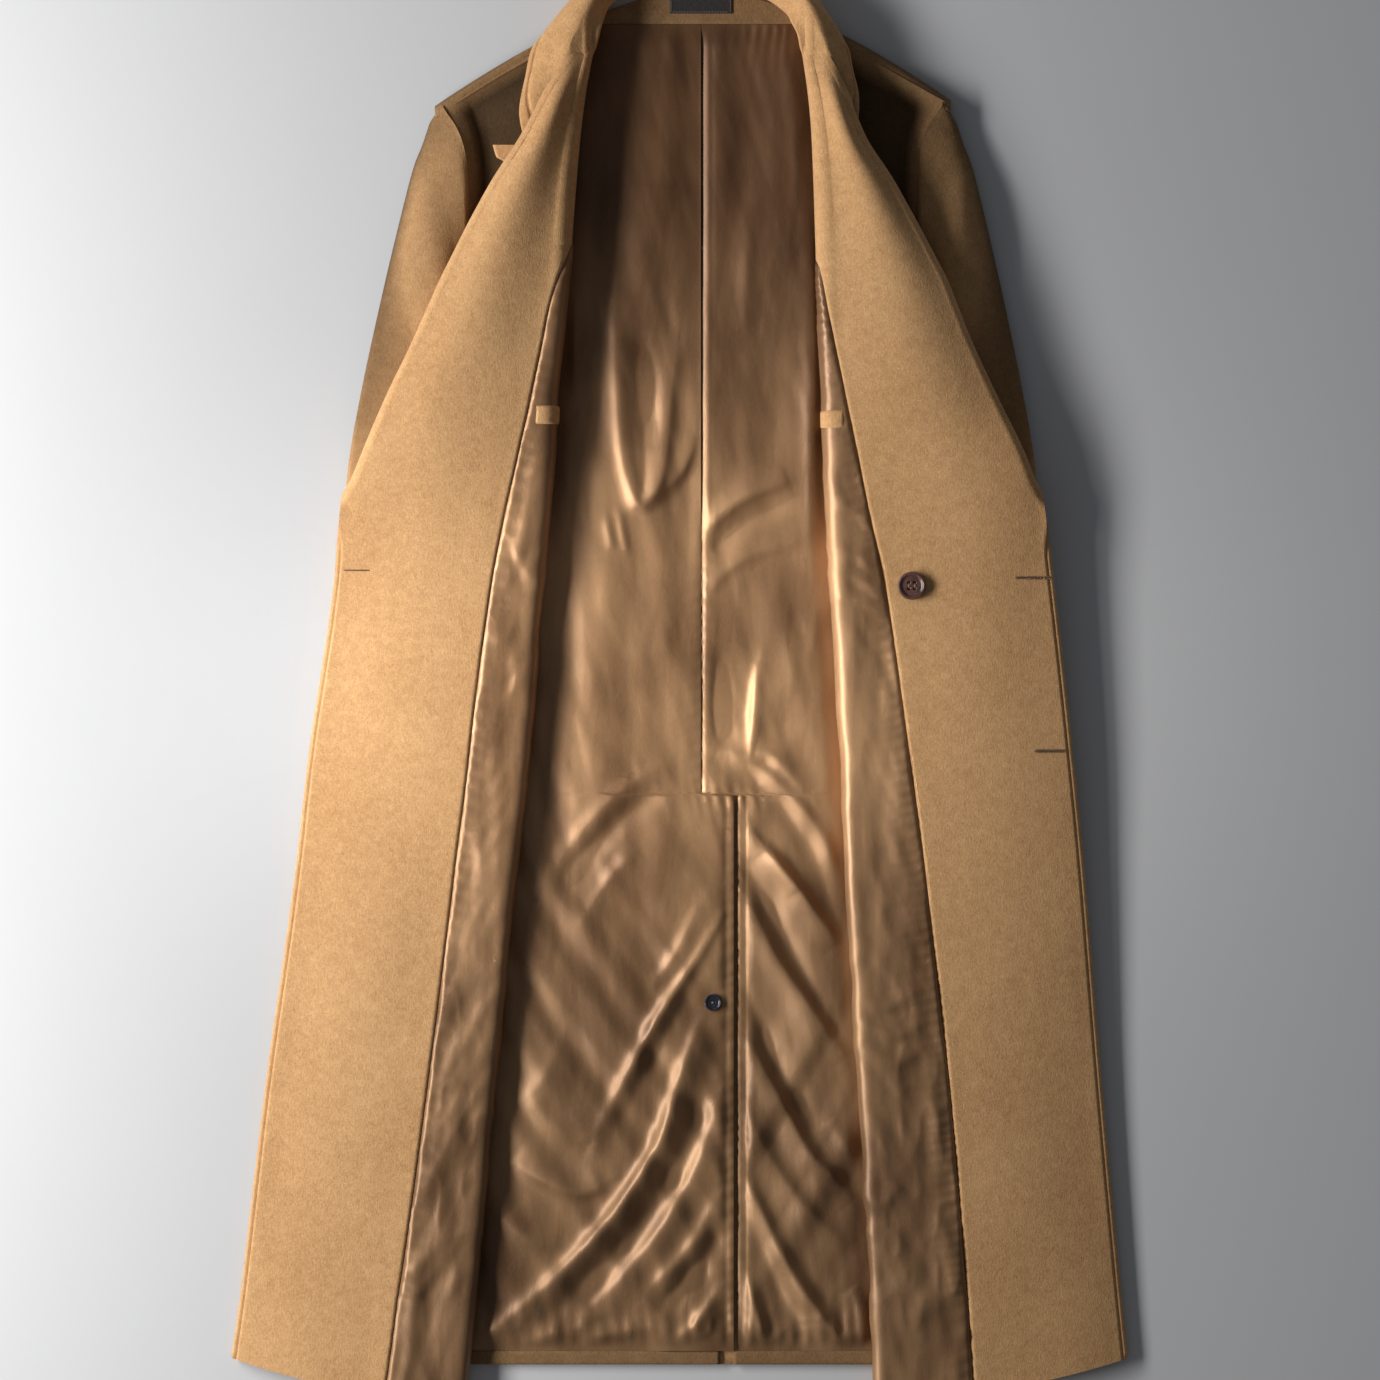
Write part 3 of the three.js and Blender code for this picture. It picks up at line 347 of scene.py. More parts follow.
# How many rows and columns the other grids have.
BACK_ROWS, BACK_TOP_ROWS, BACK_TURN_ROWS, BACK_COLUMNS = 70, 60, 17, 40
LINING_COLUMNS = 90
NECK_ROWS, NECK_COLUMNS = 16, 70
LABEL_ROWS, LABEL_COLUMNS = 17, 56
FRONT_COLUMNS = 120
FACING_COLUMNS, FACING_FLAT_COLUMNS = 100, 60
FRONT_LINING_COLUMNS, FRONT_LINING_FLAT_COLUMNS = 80, 40
LAPEL_ROWS, LAPEL_COLUMNS = 90, 30
COLLAR_ROWS, COLLAR_COLUMNS, STAND_COLUMNS = 150, 91, 8
SLEEVE_ROWS, SLEEVE_COLUMNS = 150, 46
POCKET_TAB_ROWS, POCKET_TAB_COLUMNS = 20, 34
BUTTON_RINGS, BUTTON_SIDES = 34, 64
THREAD_SIDES = 5

# Levels between which a front's shape changes, first the one where the change starts.
LAP_LEVELS = (1040, 1110)
TOP_DROP_LEVELS = (1100, 1142)
CROWN_RISE_LEVELS = (740, 900)
CROWN_FLAT_LEVELS = (1080, 1140)
OPEN_SEAM_LEVELS = (893, 845)
ARMHOLE_LOW_LEVELS, ARMHOLE_HIGH_LEVELS, DIP_HIGH_LEVELS = (915, 960), (1120, 1080), (1134, 1100)
ROUND_FOLD_LEVELS = (930, 1040)
BREAK_LEVELS = (BREAK_LEVEL + 2, BREAK_LEVEL - 38)
HEM_TURN_LEVEL = 57
TOP_DROP = 4
CROWN_RISE = 2.5
CROWN_SHARE = 0.4
ARMHOLE_HEAD = 2.5
SEAM_BULGE = 3.3
SLEEVE_ROOM = 4.6
PLEAT_LEVELS = (VENT_TOP + 220, VENT_TOP + 260)

# How many points each stretch of a front's level line has: side seam, underside, fold, flap, rolled edge.
SIDE_POINTS, UNDER_POINTS, FOLD_POINTS, FLAP_POINTS, ROLL_POINTS = 6, 13, 20, 61, 14
FOLD_START = SIDE_POINTS + UNDER_POINTS
FOLD_INMOST = FOLD_START + FOLD_POINTS // 2
FLAP_START = FOLD_START + FOLD_POINTS
FLAP_END = FLAP_START + FLAP_POINTS

# A crease's flank: its width against the listed one, and how sharply it falls.
CREASE_WIDTH = 1.6
CREASE_SHARPNESS = 1.8

# Noise repeats after so many values.
NOISE_VALUES = 251

# A button's outside below its rim, as shares of its radius and its thickness.
BUTTON_SKIRT = ((1.01, 0.36), (1.0, 0.2), (0.93, 0.06), (0.8, 0.0), (0.0, 0.0))

# The studio, in metres and watts. An area light has a place, a target, two sides, power, spread and colour.
FLOOR_SIZE = 16
FLOOR_LEVEL = -0.0006
SKY_COLOUR = (0.92, 0.95, 1.0, 1.0)
SKY_STRENGTH = 0.11
SENSOR = 36
COAT_LEVEL = 0.02
LIGHTS = {
    "key": ((-1.52, 0.02, 0.84), (0.05, 0.02, 0.0), (1.9, 0.38), 47, 180, (1.0, 0.99, 0.97)),
    "pool": ((-1.10, -0.05, 0.85), (-0.06, -0.01, 0.0), (0.3, 0.3), 0.28, 25, (1.0, 0.98, 0.95)),
}


class CoatSizes(PropertyGroup):
    """What a user may change: sizes in metres, and the height of the creases as a share."""

    crease: FloatProperty(
        name="Crease height", description="How high the satin's creases stand, against the photograph's",
        default=1.0, min=0.0, max=2.0, subtype="FACTOR")
    nap: FloatProperty(
        name="Nap depth", description="Depth of the felted wool's nap",
        default=0.0007, min=0.0, max=0.003, subtype="DISTANCE", unit="LENGTH")
    camera_height: FloatProperty(
        name="Camera height", description="Height of the camera above the coat",
        default=6.6, min=2.0, max=12.0, subtype="DISTANCE", unit="LENGTH")


class CoatColours(PropertyGroup):
    """Colours that a user may change."""

    camel_dark: FloatVectorProperty(
        name="Camel, dark", description="Dark fibres of the wool",
        default=(0.41, 0.208, 0.084), subtype="COLOR", size=3, min=0.0, max=1.0)
    camel_light: FloatVectorProperty(
        name="Camel, light", description="Light fibres of the wool",
        default=(0.73, 0.440, 0.210), subtype="COLOR", size=3, min=0.0, max=1.0)
    # Painted sheen: the satin's colour runs from bronze_dark to the lighter colour in long random streaks.
    bronze_dark: FloatVectorProperty(
        name="Bronze, dark", description="Satin between its bright streaks",
        default=(0.160, 0.080, 0.036), subtype="COLOR", size=3, min=0.0, max=1.0)
    bronze_painted_sheen: FloatVectorProperty(
        name="Bronze, light", description="Satin in its bright streaks",
        default=(0.47, 0.270, 0.135), subtype="COLOR", size=3, min=0.0, max=1.0)
    horn: FloatVectorProperty(
        name="Horn", description="Inside button",
        default=(0.050, 0.022, 0.018), subtype="COLOR", size=3, min=0.0, max=1.0)
    floor: FloatVectorProperty(
        name="Floor", description="The surface that the coat lies on",
        default=(0.62, 0.625, 0.64), subtype="COLOR", size=3, min=0.0, max=1.0)


# Numbers and lines

def mix(a, b, t):
    """The value at share t of the way from a to b."""
    return a + (b - a) * t


def smooth(low, high, x):
    """0 at low and before it, 1 at high and past it, and an even rise between."""
    t = np.clip((x - low) / (high - low), 0, 1)
    return t * t * (3 - 2 * t)


def steady(xs, ys):
    """A smooth function through points that doesn't swing past them."""
    order = np.argsort(xs)
    x, y = np.asarray(xs, float)[order], np.asarray(ys, float)[order]
    step = np.diff(x)
    slope = np.diff(y) / step
    tangent = np.zeros_like(y)
    same_way = slope[:-1] * slope[1:] > 0
    both = np.where(same_way, slope[:-1] + slope[1:], 1)
    tangent[1:-1] = np.where(same_way, 2 * slope[:-1] * slope[1:] / both, 0)
    tangent[0], tangent[-1] = slope[0], slope[-1]

    def at(value):
        v = np.clip(value, x[0], x[-1])
        i = np.clip(np.searchsorted(x, v) - 1, 0, len(step) - 1)
        t = (v - x[i]) / step[i]
        start = y[i] * (1 + 2 * t) * (1 - t) ** 2 + tangent[i] * step[i] * t * (1 - t) ** 2
        return start + y[i + 1] * t * t * (3 - 2 * t) + tangent[i + 1] * step[i] * t * t * (t - 1)

    return at


def flowing(points, count):
    """Points along a smooth line through the given ones."""
    p = np.asarray(points, float)
    last = len(p) - 1
    u = np.linspace(0, last, count)
    i = np.clip(np.floor(u).astype(int), 0, last - 1)
    t = (u - i).reshape((-1,) + (1,) * (p.ndim - 1))
    a, b, c, d = (p[np.clip(i + step, 0, last)] for step in (-1, 0, 1, 2))
    bend = (2 * a - 5 * b + 4 * c - d) * t ** 2 + (3 * b - a - 3 * c + d) * t ** 3
    return 0.5 * (2 * b + (c - a) * t + bend)


def cloud(x, y, size, seed):
    """Smooth noise from -1 to 1. size is the distance between its values, alone or across and along."""
    across, along = np.broadcast_to(size, 2)
    u, v = x / across, y / along
    iu, iv = np.floor(u).astype(int), np.floor(v).astype(int)
    fu, fv = smooth(0, 1, u - iu), smooth(0, 1, v - iv)
    values = np.random.RandomState(seed).uniform(-1, 1, (NOISE_VALUES, NOISE_VALUES))
    pick = lambda a, b: values[(iu + a) % NOISE_VALUES, (iv + b) % NOISE_VALUES]
    return mix(mix(pick(0, 0), pick(1, 0), fu), mix(pick(0, 1), pick(1, 1), fu), fv)


def nearest_on(line, x, y):
    """For each place, its distance from a line, the share of the way along it, and the side it is on."""
    best = np.full(x.shape, np.inf)
    along = np.zeros_like(best)
    side = np.zeros_like(best)
    for k in range(len(line) - 1):
        a, d = line[k], line[k + 1] - line[k]
        t = np.clip(((x - a[0]) * d[0] + (y - a[1]) * d[1]) / max(d @ d, 1e-9), 0, 1)
        dx, dy = x - a[0] - t * d[0], y - a[1] - t * d[1]
        far = dx * dx + dy * dy
        nearer = far < best
        best = np.where(nearer, far, best)
        along = np.where(nearer, (k + t) / (len(line) - 1), along)
        side = np.where(nearer, np.sign(d[0] * dy - d[1] * dx), side)
    return np.sqrt(best), along, side


def creased(x, y, rows):
    """Height of cloth over its creases."""
    height = np.zeros_like(x)
    for places, rise, width, lean in rows:
        far, along, side = nearest_on(flowing(places, 5 * len(places)), x, y)
        share = far / (CREASE_WIDTH * width * (1 + lean * side))
        taper = np.sin(np.pi * mix(0.04, 0.96, along)) ** 0.8
        height += rise * taper * np.exp(-share ** CREASE_SHARPNESS)
    return height


def puckered(along, away, pitch, reach, seed):
    """Small gathers beside a seam, from -1 to 1, which die out away from it."""
    wander = along + 0.45 * pitch * cloud(along, along * 0, (pitch * 2.5, 1), seed)
    gather = np.cos(2 * np.pi * wander / pitch + away / reach * 1.3)
    strength = 0.6 + 0.4 * cloud(along, along * 0 + 7.5, (pitch * 3, 1), seed + 1)
    return gather * strength * np.exp(-np.abs(away) / reach)


# Meshes

LABEL_LOW, LABEL_HIGH = (np.array(corner) * 1000 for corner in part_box("label"))
SHIFT = np.array([*((LABEL_LOW + LABEL_HIGH)[:2] / 2 - LABEL_MIDDLE), 0])
SIGN = {"left": -1, "right": 1}


def metres(points):
    """The frame's metres of points in the pattern's millimetres."""
    return (np.asarray(points) + SHIFT) / 1000


def normals_of(grid):
    """The direction square to a grid at each of its points."""
    down = np.gradient(grid, axis=0)
    across = np.gradient(grid, axis=1)
    n = np.cross(down, across)
    return n / np.maximum(np.linalg.norm(n, axis=-1, keepdims=True), 1e-9)


def raised(grid, height):
    """A grid with a height added to each of its points."""
    return grid + np.stack([0 * height, 0 * height, height], axis=-1)


def area_of(grid):
    """Area of a grid of cloth, in square metres."""
    down = grid[1:, :-1] - grid[:-1, :-1]
    across = grid[:-1, 1:] - grid[:-1, :-1]
    return float(np.linalg.norm(np.cross(down, across), axis=-1).sum()) / 1e6


def mesh_object(name, points, faces, material):
    mesh = bpy.data.meshes.new(name)
    mesh.from_pydata([tuple(p) for p in metres(points)], [], faces)
    mesh.validate()
    mesh.shade_smooth()
    mesh.materials.append(material)
    piece = bpy.data.objects.new(name, mesh)
    bpy.context.scene.collection.objects.link(piece)
    return piece


def quads_of(rows, columns, start=0, flip=False, closed=False):
    """The faces of a grid. closed joins its last column to its first."""
    wide = columns if closed else columns - 1
    r, c = np.meshgrid(np.arange(rows - 1), np.arange(wide), indexing="ij")
    a = start + r * columns + c
    b = start + r * columns + (c + 1) % columns
    quads = np.stack([a, b, b + columns, a + columns], axis=-1).reshape(-1, 4)
    return (quads[:, ::-1] if flip else quads).tolist()


def cloth(name, grid, material, flip=False):
    """An open sheet on a grid."""
    rows, columns, _ = grid.shape
    return mesh_object(name, grid.reshape(-1, 3), quads_of(rows, columns, flip=flip), material)


def wall(name, under, over, material):
    """The closed cloth between two grids, with its cut edges."""
    rows, columns, _ = under.shape
    count = rows * columns
    points = np.concatenate([under.reshape(-1, 3), over.reshape(-1, 3)])
    faces = quads_of(rows, columns) + quads_of(rows, columns, start=count, flip=True)
    at = np.arange(count).reshape(rows, columns)
    rim = np.concatenate([at[0, :], at[1:, -1], at[-1, -2::-1], at[-2:0:-1, 0]])
    for a, b in zip(rim, np.roll(rim, -1)):
        faces.append([int(b), int(a), int(a) + count, int(b) + count])
    return faced_outward(mesh_object(name, points, faces, material))


def faced_outward(piece):
    """Turns a closed mesh's faces outward."""
    bm = bmesh.new()
    bm.from_mesh(piece.data)
    bmesh.ops.recalc_face_normals(bm, faces=bm.faces)
    bm.to_mesh(piece.data)
    bm.free()
    return piece


def tube(line, radius):
    """Points and faces of a thread along a line."""
    line = np.asarray(line, float)
    tangent = np.gradient(line, axis=0)
    tangent /= np.maximum(np.linalg.norm(tangent, axis=1, keepdims=True), 1e-9)
    up = np.array([0.03, 0.02, 1.0])
    side = np.cross(tangent, up)
    side /= np.maximum(np.linalg.norm(side, axis=1, keepdims=True), 1e-9)
    top = np.cross(side, tangent)
    angles = np.arange(THREAD_SIDES) * 2 * np.pi / THREAD_SIDES
    ring = np.cos(angles)[None, :, None] * side[:, None] + np.sin(angles)[None, :, None] * top[:, None]
    thick = radius * np.sqrt(np.clip(np.sin(np.pi * np.linspace(0.04, 0.96, len(line))) * 3, 0, 1))
    points = line[:, None] + ring * thick[:, None, None]
    return points.reshape(-1, 3), quads_of(len(line), THREAD_SIDES, closed=True)


def threads(name, lines, radius):
    """One piece of many short threads."""
    points, faces, start = [], [], 0
    for line in lines:
        places, quads = tube(line, radius)
        points.append(places)
        faces += [[i + start for i in quad] for quad in quads]
        start += len(places)
    return mesh_object(name, np.concatenate(points), faces, finish("sewing thread"))


def sewn(piece, nodes, pattern=None):
    """Hangs a finished piece on the root and hides the model's parts that it stands for. pattern is the
    smooth cloth that it was cut to; its area is worked out but not used.
    """
    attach(piece, "root")
    if nodes:
        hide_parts(*nodes)
    if pattern is not None:
        area_of(pattern)
    return piece


# The fronts' shape

class Front:
    """One front: its level lines, from the side seam round the fold to the front edge and its roll."""

    def __init__(self, side):
        self.sign = SIGN[side]
        self.lap = SHOULDER_LAP[side]
        rows = np.array(FRONTS[side], float)
        self.value = {name: steady(rows[:, 0], rows[:, k]) for k, name in enumerate(FRONT_VALUES)}
        self.top = rows[:, 0].max()

    def values_at(self, y):
        """The numbers of FRONTS at a level, with the shoulder's lap and the crown's rise worked in."""
        v = {name: float(at(y)) for name, at in self.value.items()}
        shoulder = float(smooth(*LAP_LEVELS, y))
        v["near"] += self.lap[0] * shoulder
        v["far"] += self.lap[1] * shoulder
        for name in ("high", "crown", "rim"):
            v[name] -= TOP_DROP * float(smooth(*TOP_DROP_LEVELS, y))
        v["crown"] += CROWN_RISE * float(smooth(*CROWN_RISE_LEVELS, y))
        even = mix(v["high"], v["rim"], CROWN_SHARE)
        v["crown"] = mix(v["crown"], even, float(smooth(*CROWN_FLAT_LEVELS, y)))
        return v

    def line(self, y):
        """The middle of the wool at a level: places, outward normals, lengths, and named stations."""
        v = self.values_at(y)
        shoulder = float(smooth(*LAP_LEVELS, y))
        above = max(0.0, y - self.top)
        radius = (v["high"] - v["low"]) / 2
        turn = v["fold"] + 3 + radius
        hem = float(np.clip((HEM_TURN_LEVEL - y) / HEM_TURN_LEVEL, 0, 1))
        near, level = v["near"] - FRONT_HEM_DROP * hem, v["y"] + above
        below = lambda out: mix(near, v["far"], (out - turn) / (v["side"] - turn))

        # From the side seam, which stands open at the armhole, along the underside to the fold
        opened = float(smooth(*OPEN_SEAM_LEVELS, y))
        bend = np.linspace(0, 1, SIDE_POINTS + 1)[:-1]
        side_out = v["side"] + opened * SEAM_BULGE * np.sin(np.pi * bend) - (1 - opened) * 3 * bend
        head = ARMHOLE_HEAD * float(smooth(*ARMHOLE_LOW_LEVELS, y) * smooth(*ARMHOLE_HIGH_LEVELS, y))
        side_z = mix(v["low"], mix(WOOL / 2, v["low"], bend), opened) + 0.3 * shoulder + head
        lower = np.linspace(v["side"] - (1 - opened) * 3, turn, UNDER_POINTS + 1)[:-1]
        room = float(smooth(*ARMHOLE_LOW_LEVELS, y) * smooth(*DIP_HIGH_LEVELS, y))
        dip = max(v["low"] - SLEEVE_ROOM, 0) * room
        dip = dip * smooth(0, 17, v["side"] - 3 - lower) * smooth(turn + 2, turn + 22, lower)
        dip -= head * smooth(14, 0, v["side"] - 3 - lower)
        out = [side_out, lower]
        z = [side_z, v["low"] + 0.3 * shoulder * smooth(turn, turn + 20, lower) - dip]
        levels = [below(np.minimum(side_out, v["side"])), below(lower)]

        # Round the fold
        angle = np.linspace(0, np.pi, FOLD_POINTS + 1)[:-1]
        bluntness = mix(0.72, 1.0, float(smooth(*ROUND_FOLD_LEVELS, y)))
        out.append(turn - radius * np.sin(angle) ** bluntness)
        z.append(v["low"] + radius * (1 - np.sign(np.cos(angle)) * np.abs(np.cos(angle)) ** bluntness))
        levels.append(mix(near, level - FRONT_HEM_DROP * hem, angle / np.pi))

        # Over the flap
        rolled = min(v["roll"] / 0.75, 1)
        start = v["edge"] - mix(4, ROLL_RADIUS + WOOL / 2 + SEAM_GAP + FACING, rolled)
        share = np.linspace(0, 1, FLAP_POINTS)
        bow = v["crown"] - mix(v["high"], v["rim"], CROWN_SHARE)
        hump = np.sin(np.pi * share ** 1.35) ** 1.1
        out.append(mix(turn, start, share))
        z.append(mix(v["high"], v["rim"], share) + bow * hump)

        # Round the rolled edge
        roll = np.pi * v["roll"]
        length = max(ROLL_RADIUS * roll, 3)
        steps = (np.arange(ROLL_POINTS) + 0.5) / ROLL_POINTS
        out.append(start + np.cumsum(np.cos(roll * steps)) * length / ROLL_POINTS)
        z.append(z[-1][-1] - np.cumsum(np.sin(roll * steps)) * length / ROLL_POINTS)
        rest = mix(1, ROLL_RETURN, rolled)
        out.append(out[-1][-1:] + rest * math.cos(roll))
        z.append(z[-1][-1:] - rest * math.sin(roll))

        out, z = np.concatenate(out), np.concatenate(z)
        flap = np.clip((out[FLAP_START:] - v["fold"]) / (v["edge"] - v["fold"]), 0, 1)
        levels.append(level - hem * (FRONT_HEM_DROP - FRONT_HEM_RISE * flap ** 2))
        lengths = np.concatenate([[0], np.cumsum(np.hypot(np.diff(out), np.diff(z)))])
        tangent = np.stack([np.gradient(out, lengths), np.gradient(z, lengths)])
        tangent /= np.linalg.norm(tangent, axis=0)
        return (out, np.concatenate(levels), z, -tangent[1], tangent[0], lengths,
                self.stations(v, y, out, lengths))

    def stations(self, v, y, out, lengths):
        """The lengths along a level line at which the pieces on it start and end."""
        turned = slice(FOLD_INMOST, FLAP_END)
        at_place = lambda place: float(np.interp(place, out[turned], lengths[turned]))
        inner = lengths[FOLD_INMOST]
        seam = inner + v["seam"] if v["seam"] < 0 else at_place(v["fold"] + v["seam"])
        inset = at_place(v["edge"] - FACING_INSET)
        edge = mix(lengths[-1], inset, float(smooth(*BREAK_LEVELS, y)))
        return {"inner": inner, "seam": seam, "edge": edge, "end": lengths[-1], "start": 0.0,
                "under": lengths[FOLD_START] - LINING_UNDER_FRONT, "flap": lengths[FLAP_START]}

    def armhole(self, across):
        """The edge that the sleeve is sewn to, from the shoulder down, at shares of its length."""
        rows = [self.line(y) for y in np.linspace(self.top, 962, 70)]
        edge = np.array([(row[0][0], row[1][0], row[2][0]) for row in rows])
        lengths = np.concatenate([[0], np.cumsum(np.linalg.norm(np.diff(edge, axis=0), axis=1))])
        return [np.interp(across * lengths[-1], lengths, edge[:, k]) for k in range(3)]

    def sheet(self, levels, stretch, columns, off):
        """A grid on the front from one station to another. off gives its height over the wool's middle."""
        grid = []
        for y in levels:
            out, level, z, n_out, n_z, lengths, stations = self.line(y)
            s = mix(*stretch(stations, y), np.linspace(0, 1, columns))
            at = lambda values: np.interp(s, lengths, values)
            height = off(s, at(out), y, stations)
            row = [at(out) + at(n_out) * height, at(level), at(z) + at(n_z) * height]
            grid.append(np.stack(row, axis=1))
        grid = np.array(grid)
        grid[..., 0] *= self.sign
        return grid

    def place(self, out, y, height):
        """A point over the turned-back part, and the direction square to it."""
        row_out, level, z, n_out, n_z, lengths, _ = self.line(y)
        s = np.interp(out, row_out[FOLD_INMOST:FLAP_END], lengths[FOLD_INMOST:FLAP_END])
        at = lambda values: float(np.interp(s, lengths, values))
        normal = np.array([at(n_out) * self.sign, 0, at(n_z)])
        return np.array([at(row_out) * self.sign, at(level), at(z)]) + normal * height, normal


def level_off(height):
    """The same height over the wool's middle everywhere, for Front.sheet."""
    return lambda s, out, y, stations: np.full_like(s, height)


def levels_between(top, bottom, step):
    """Even levels from the top down, about a step apart."""
    return np.linspace(top, bottom, max(2, int(round((top - bottom) / step)) + 1))


# Shader nodes

class Value:
    """A node's output that takes part in sums."""

    def __init__(self, tree, socket):
        self.tree, self.socket = tree, socket

    def math(self, operation, *others):
        node = self.tree.nodes.new("ShaderNodeMath")
        node.operation = operation
        for slot, value in zip(node.inputs, others):
            if isinstance(value, Value):
                self.tree.links.new(value.socket, slot)
            else:
                slot.default_value = value
        return Value(self.tree, node.outputs[0])

    def __add__(self, other):
        return self.math("ADD", self, other)

    def __radd__(self, other):
        return self.math("ADD", other, self)

    def __mul__(self, other):
        return self.math("MULTIPLY", self, other)

    def __rmul__(self, other):
        return self.math("MULTIPLY", other, self)


class Finish:
    """A material being made."""

    def __init__(self, name):
        self.material = bpy.data.materials.new(name)
        self.material.use_nodes = True
        self.tree = self.material.node_tree
        self.tree.nodes.clear()
        shader = self.node("ShaderNodeBsdfPrincipled")
        self.surface = shader.socket.node
        self.node("ShaderNodeOutputMaterial", Surface=shader)
        self.places = self.node("ShaderNodeTexCoord", result="Object")

    def node(self, kind, settings=None, result=0, **inputs):
        """Adds any node but a sum's, and gives one of its outputs where it has any."""
        node = self.tree.nodes.new(kind)
        for name, value in (settings or {}).items():
            setattr(node, name, value)
        for name, value in inputs.items():
            self.put(node, name, value)
        return Value(self.tree, node.outputs[result]) if node.outputs else None

    def put(self, node, name, value):
        """Sets or links a socket, given by its name with _ for spaces, or by _ and its number."""
        slot = node.inputs[int(name[1:])] if name[:1] == "_" else node.inputs[name.replace("_", " ")]
        if isinstance(value, Value):
            self.tree.links.new(value.socket, slot)
        else:
            slot.default_value = value

    def set(self, **inputs):
        for name, value in inputs.items():
            self.put(self.surface, name, value)

    def place_along(self, axis):
        return self.node("ShaderNodeSeparateXYZ", result=axis, Vector=self.places)

    def noise(self, scale, detail=2.0, roughness=0.5, stretch=None, turn=0.0, distortion=0.0):
        places = self.places
        if stretch:
            places = self.node("ShaderNodeMapping", {"vector_type": "POINT"}, Vector=places,
                               Scale=stretch, Rotation=(0.0, 0.0, turn))
        return self.node("ShaderNodeTexNoise", result="Fac", Vector=places, Scale=scale, Detail=detail,
                         Roughness=roughness, Distortion=distortion)

    def span(self, value, low, high, new_low=0.0, new_high=1.0):
        return self.node("ShaderNodeMapRange", {"clamp": True}, result="Result", Value=value, From_Min=low,
                         From_Max=high, To_Min=new_low, To_Max=new_high)

    def blended(self, share, one, other):
        """A mix of two colours."""
        one, other = ((*c, 1.0) if isinstance(c, tuple) else c for c in (one, other))
        return self.node("ShaderNodeMix", {"data_type": "RGBA"}, result=2, _0=share, _6=one, _7=other)

    def rough(self, height, depth, strength):
        """Gives the surface a fine relief."""
        self.set(Normal=self.node("ShaderNodeBump", result="Normal", Strength=strength, Distance=depth,
                                  Height=height))


def colour(name, shade=1.0):
    """One of the colours that a user may change, times a shade."""
    return tuple((np.array(getattr(bpy.context.scene.coat_colours, name), float) * shade).tolist())


# Painted shade and light: how far the wool's colours are darkened where shade falls on it, and the satin's
# scaled at the top, middle and bottom, as painted shade, painted light and painted shade
OUTSIDE_PAINTED_SHADE = 0.72
HEM_PAINTED_SHADE = 0.42
HOLLOW_PAINTED_SHADE = 0.2
SATIN_PAINTED_LIGHT_AND_SHADE = ((0.45, 0.38, 0.33), (1.20, 1.19, 1.17), (0.88, 0.86, 0.82))

FINISHES = {}


def finish(name):
    """A material, made when it is first asked for."""
    if name not in FINISHES:
        FINISHES[name] = MAKERS[name](name)
    return FINISHES[name]


def make_wool(name, shade=1.0, outside=False):
    f = Finish(name)
    nap = f.noise(620.0, 3.0, 0.65)
    fibre = f.noise(900.0, 2.0, 0.6, stretch=(1.0, 0.28, 1.0), turn=0.5)
    mottle = f.noise(115.0, 4.0, 0.6)
    drift = f.noise(9.0, 2.0, 0.5)
    tone = f.span(nap * 0.40 + fibre * 0.30 + mottle * 0.24 + drift * 0.20, 0.40, 0.74)
    fibres = lambda shade: f.blended(tone, colour("camel_dark", shade), colour("camel_light", shade))
    cloth_colour = fibres(shade)
    if outside:
        # Painted shade: from the pockets' level up the outside wool is darkened, most of all in the hollow
        # under the fronts, low down near the floor; lower on the coat it keeps its own colour
        painted_hollow_colour = fibres(shade * HOLLOW_PAINTED_SHADE)
        upper = f.blended(f.span(f.place_along("Z"), 0.008, 0.020), painted_hollow_colour, cloth_colour)
        cloth_colour = f.blended(f.span(f.place_along("Y"), 0.12, 0.22), fibres(1.0), upper)
    f.set(Base_Color=cloth_colour, Roughness=0.92, Sheen_Weight=0.22, Sheen_Roughness=0.45,
          Sheen_Tint=(0.95, 0.80, 0.62, 1.0), Specular_IOR_Level=0.18)
    f.rough(nap * 0.5 + fibre * 0.35 + mottle * 0.5, bpy.context.scene.coat_sizes.nap, 0.75)
    return f.material


# Painted shade: the backs, the outside of the fronts and the sleeves take this darkened copy of the camel
# wool.
def make_outside_wool_with_painted_shade(name):
    return make_wool(name, OUTSIDE_PAINTED_SHADE, outside=True)


# Painted shade: the hem, the vent's underlap and the neck facing take the camel wool darkened to 0.42 of
# its colour.
def make_hem_wool_with_painted_shade(name):
    return make_wool(name, HEM_PAINTED_SHADE)


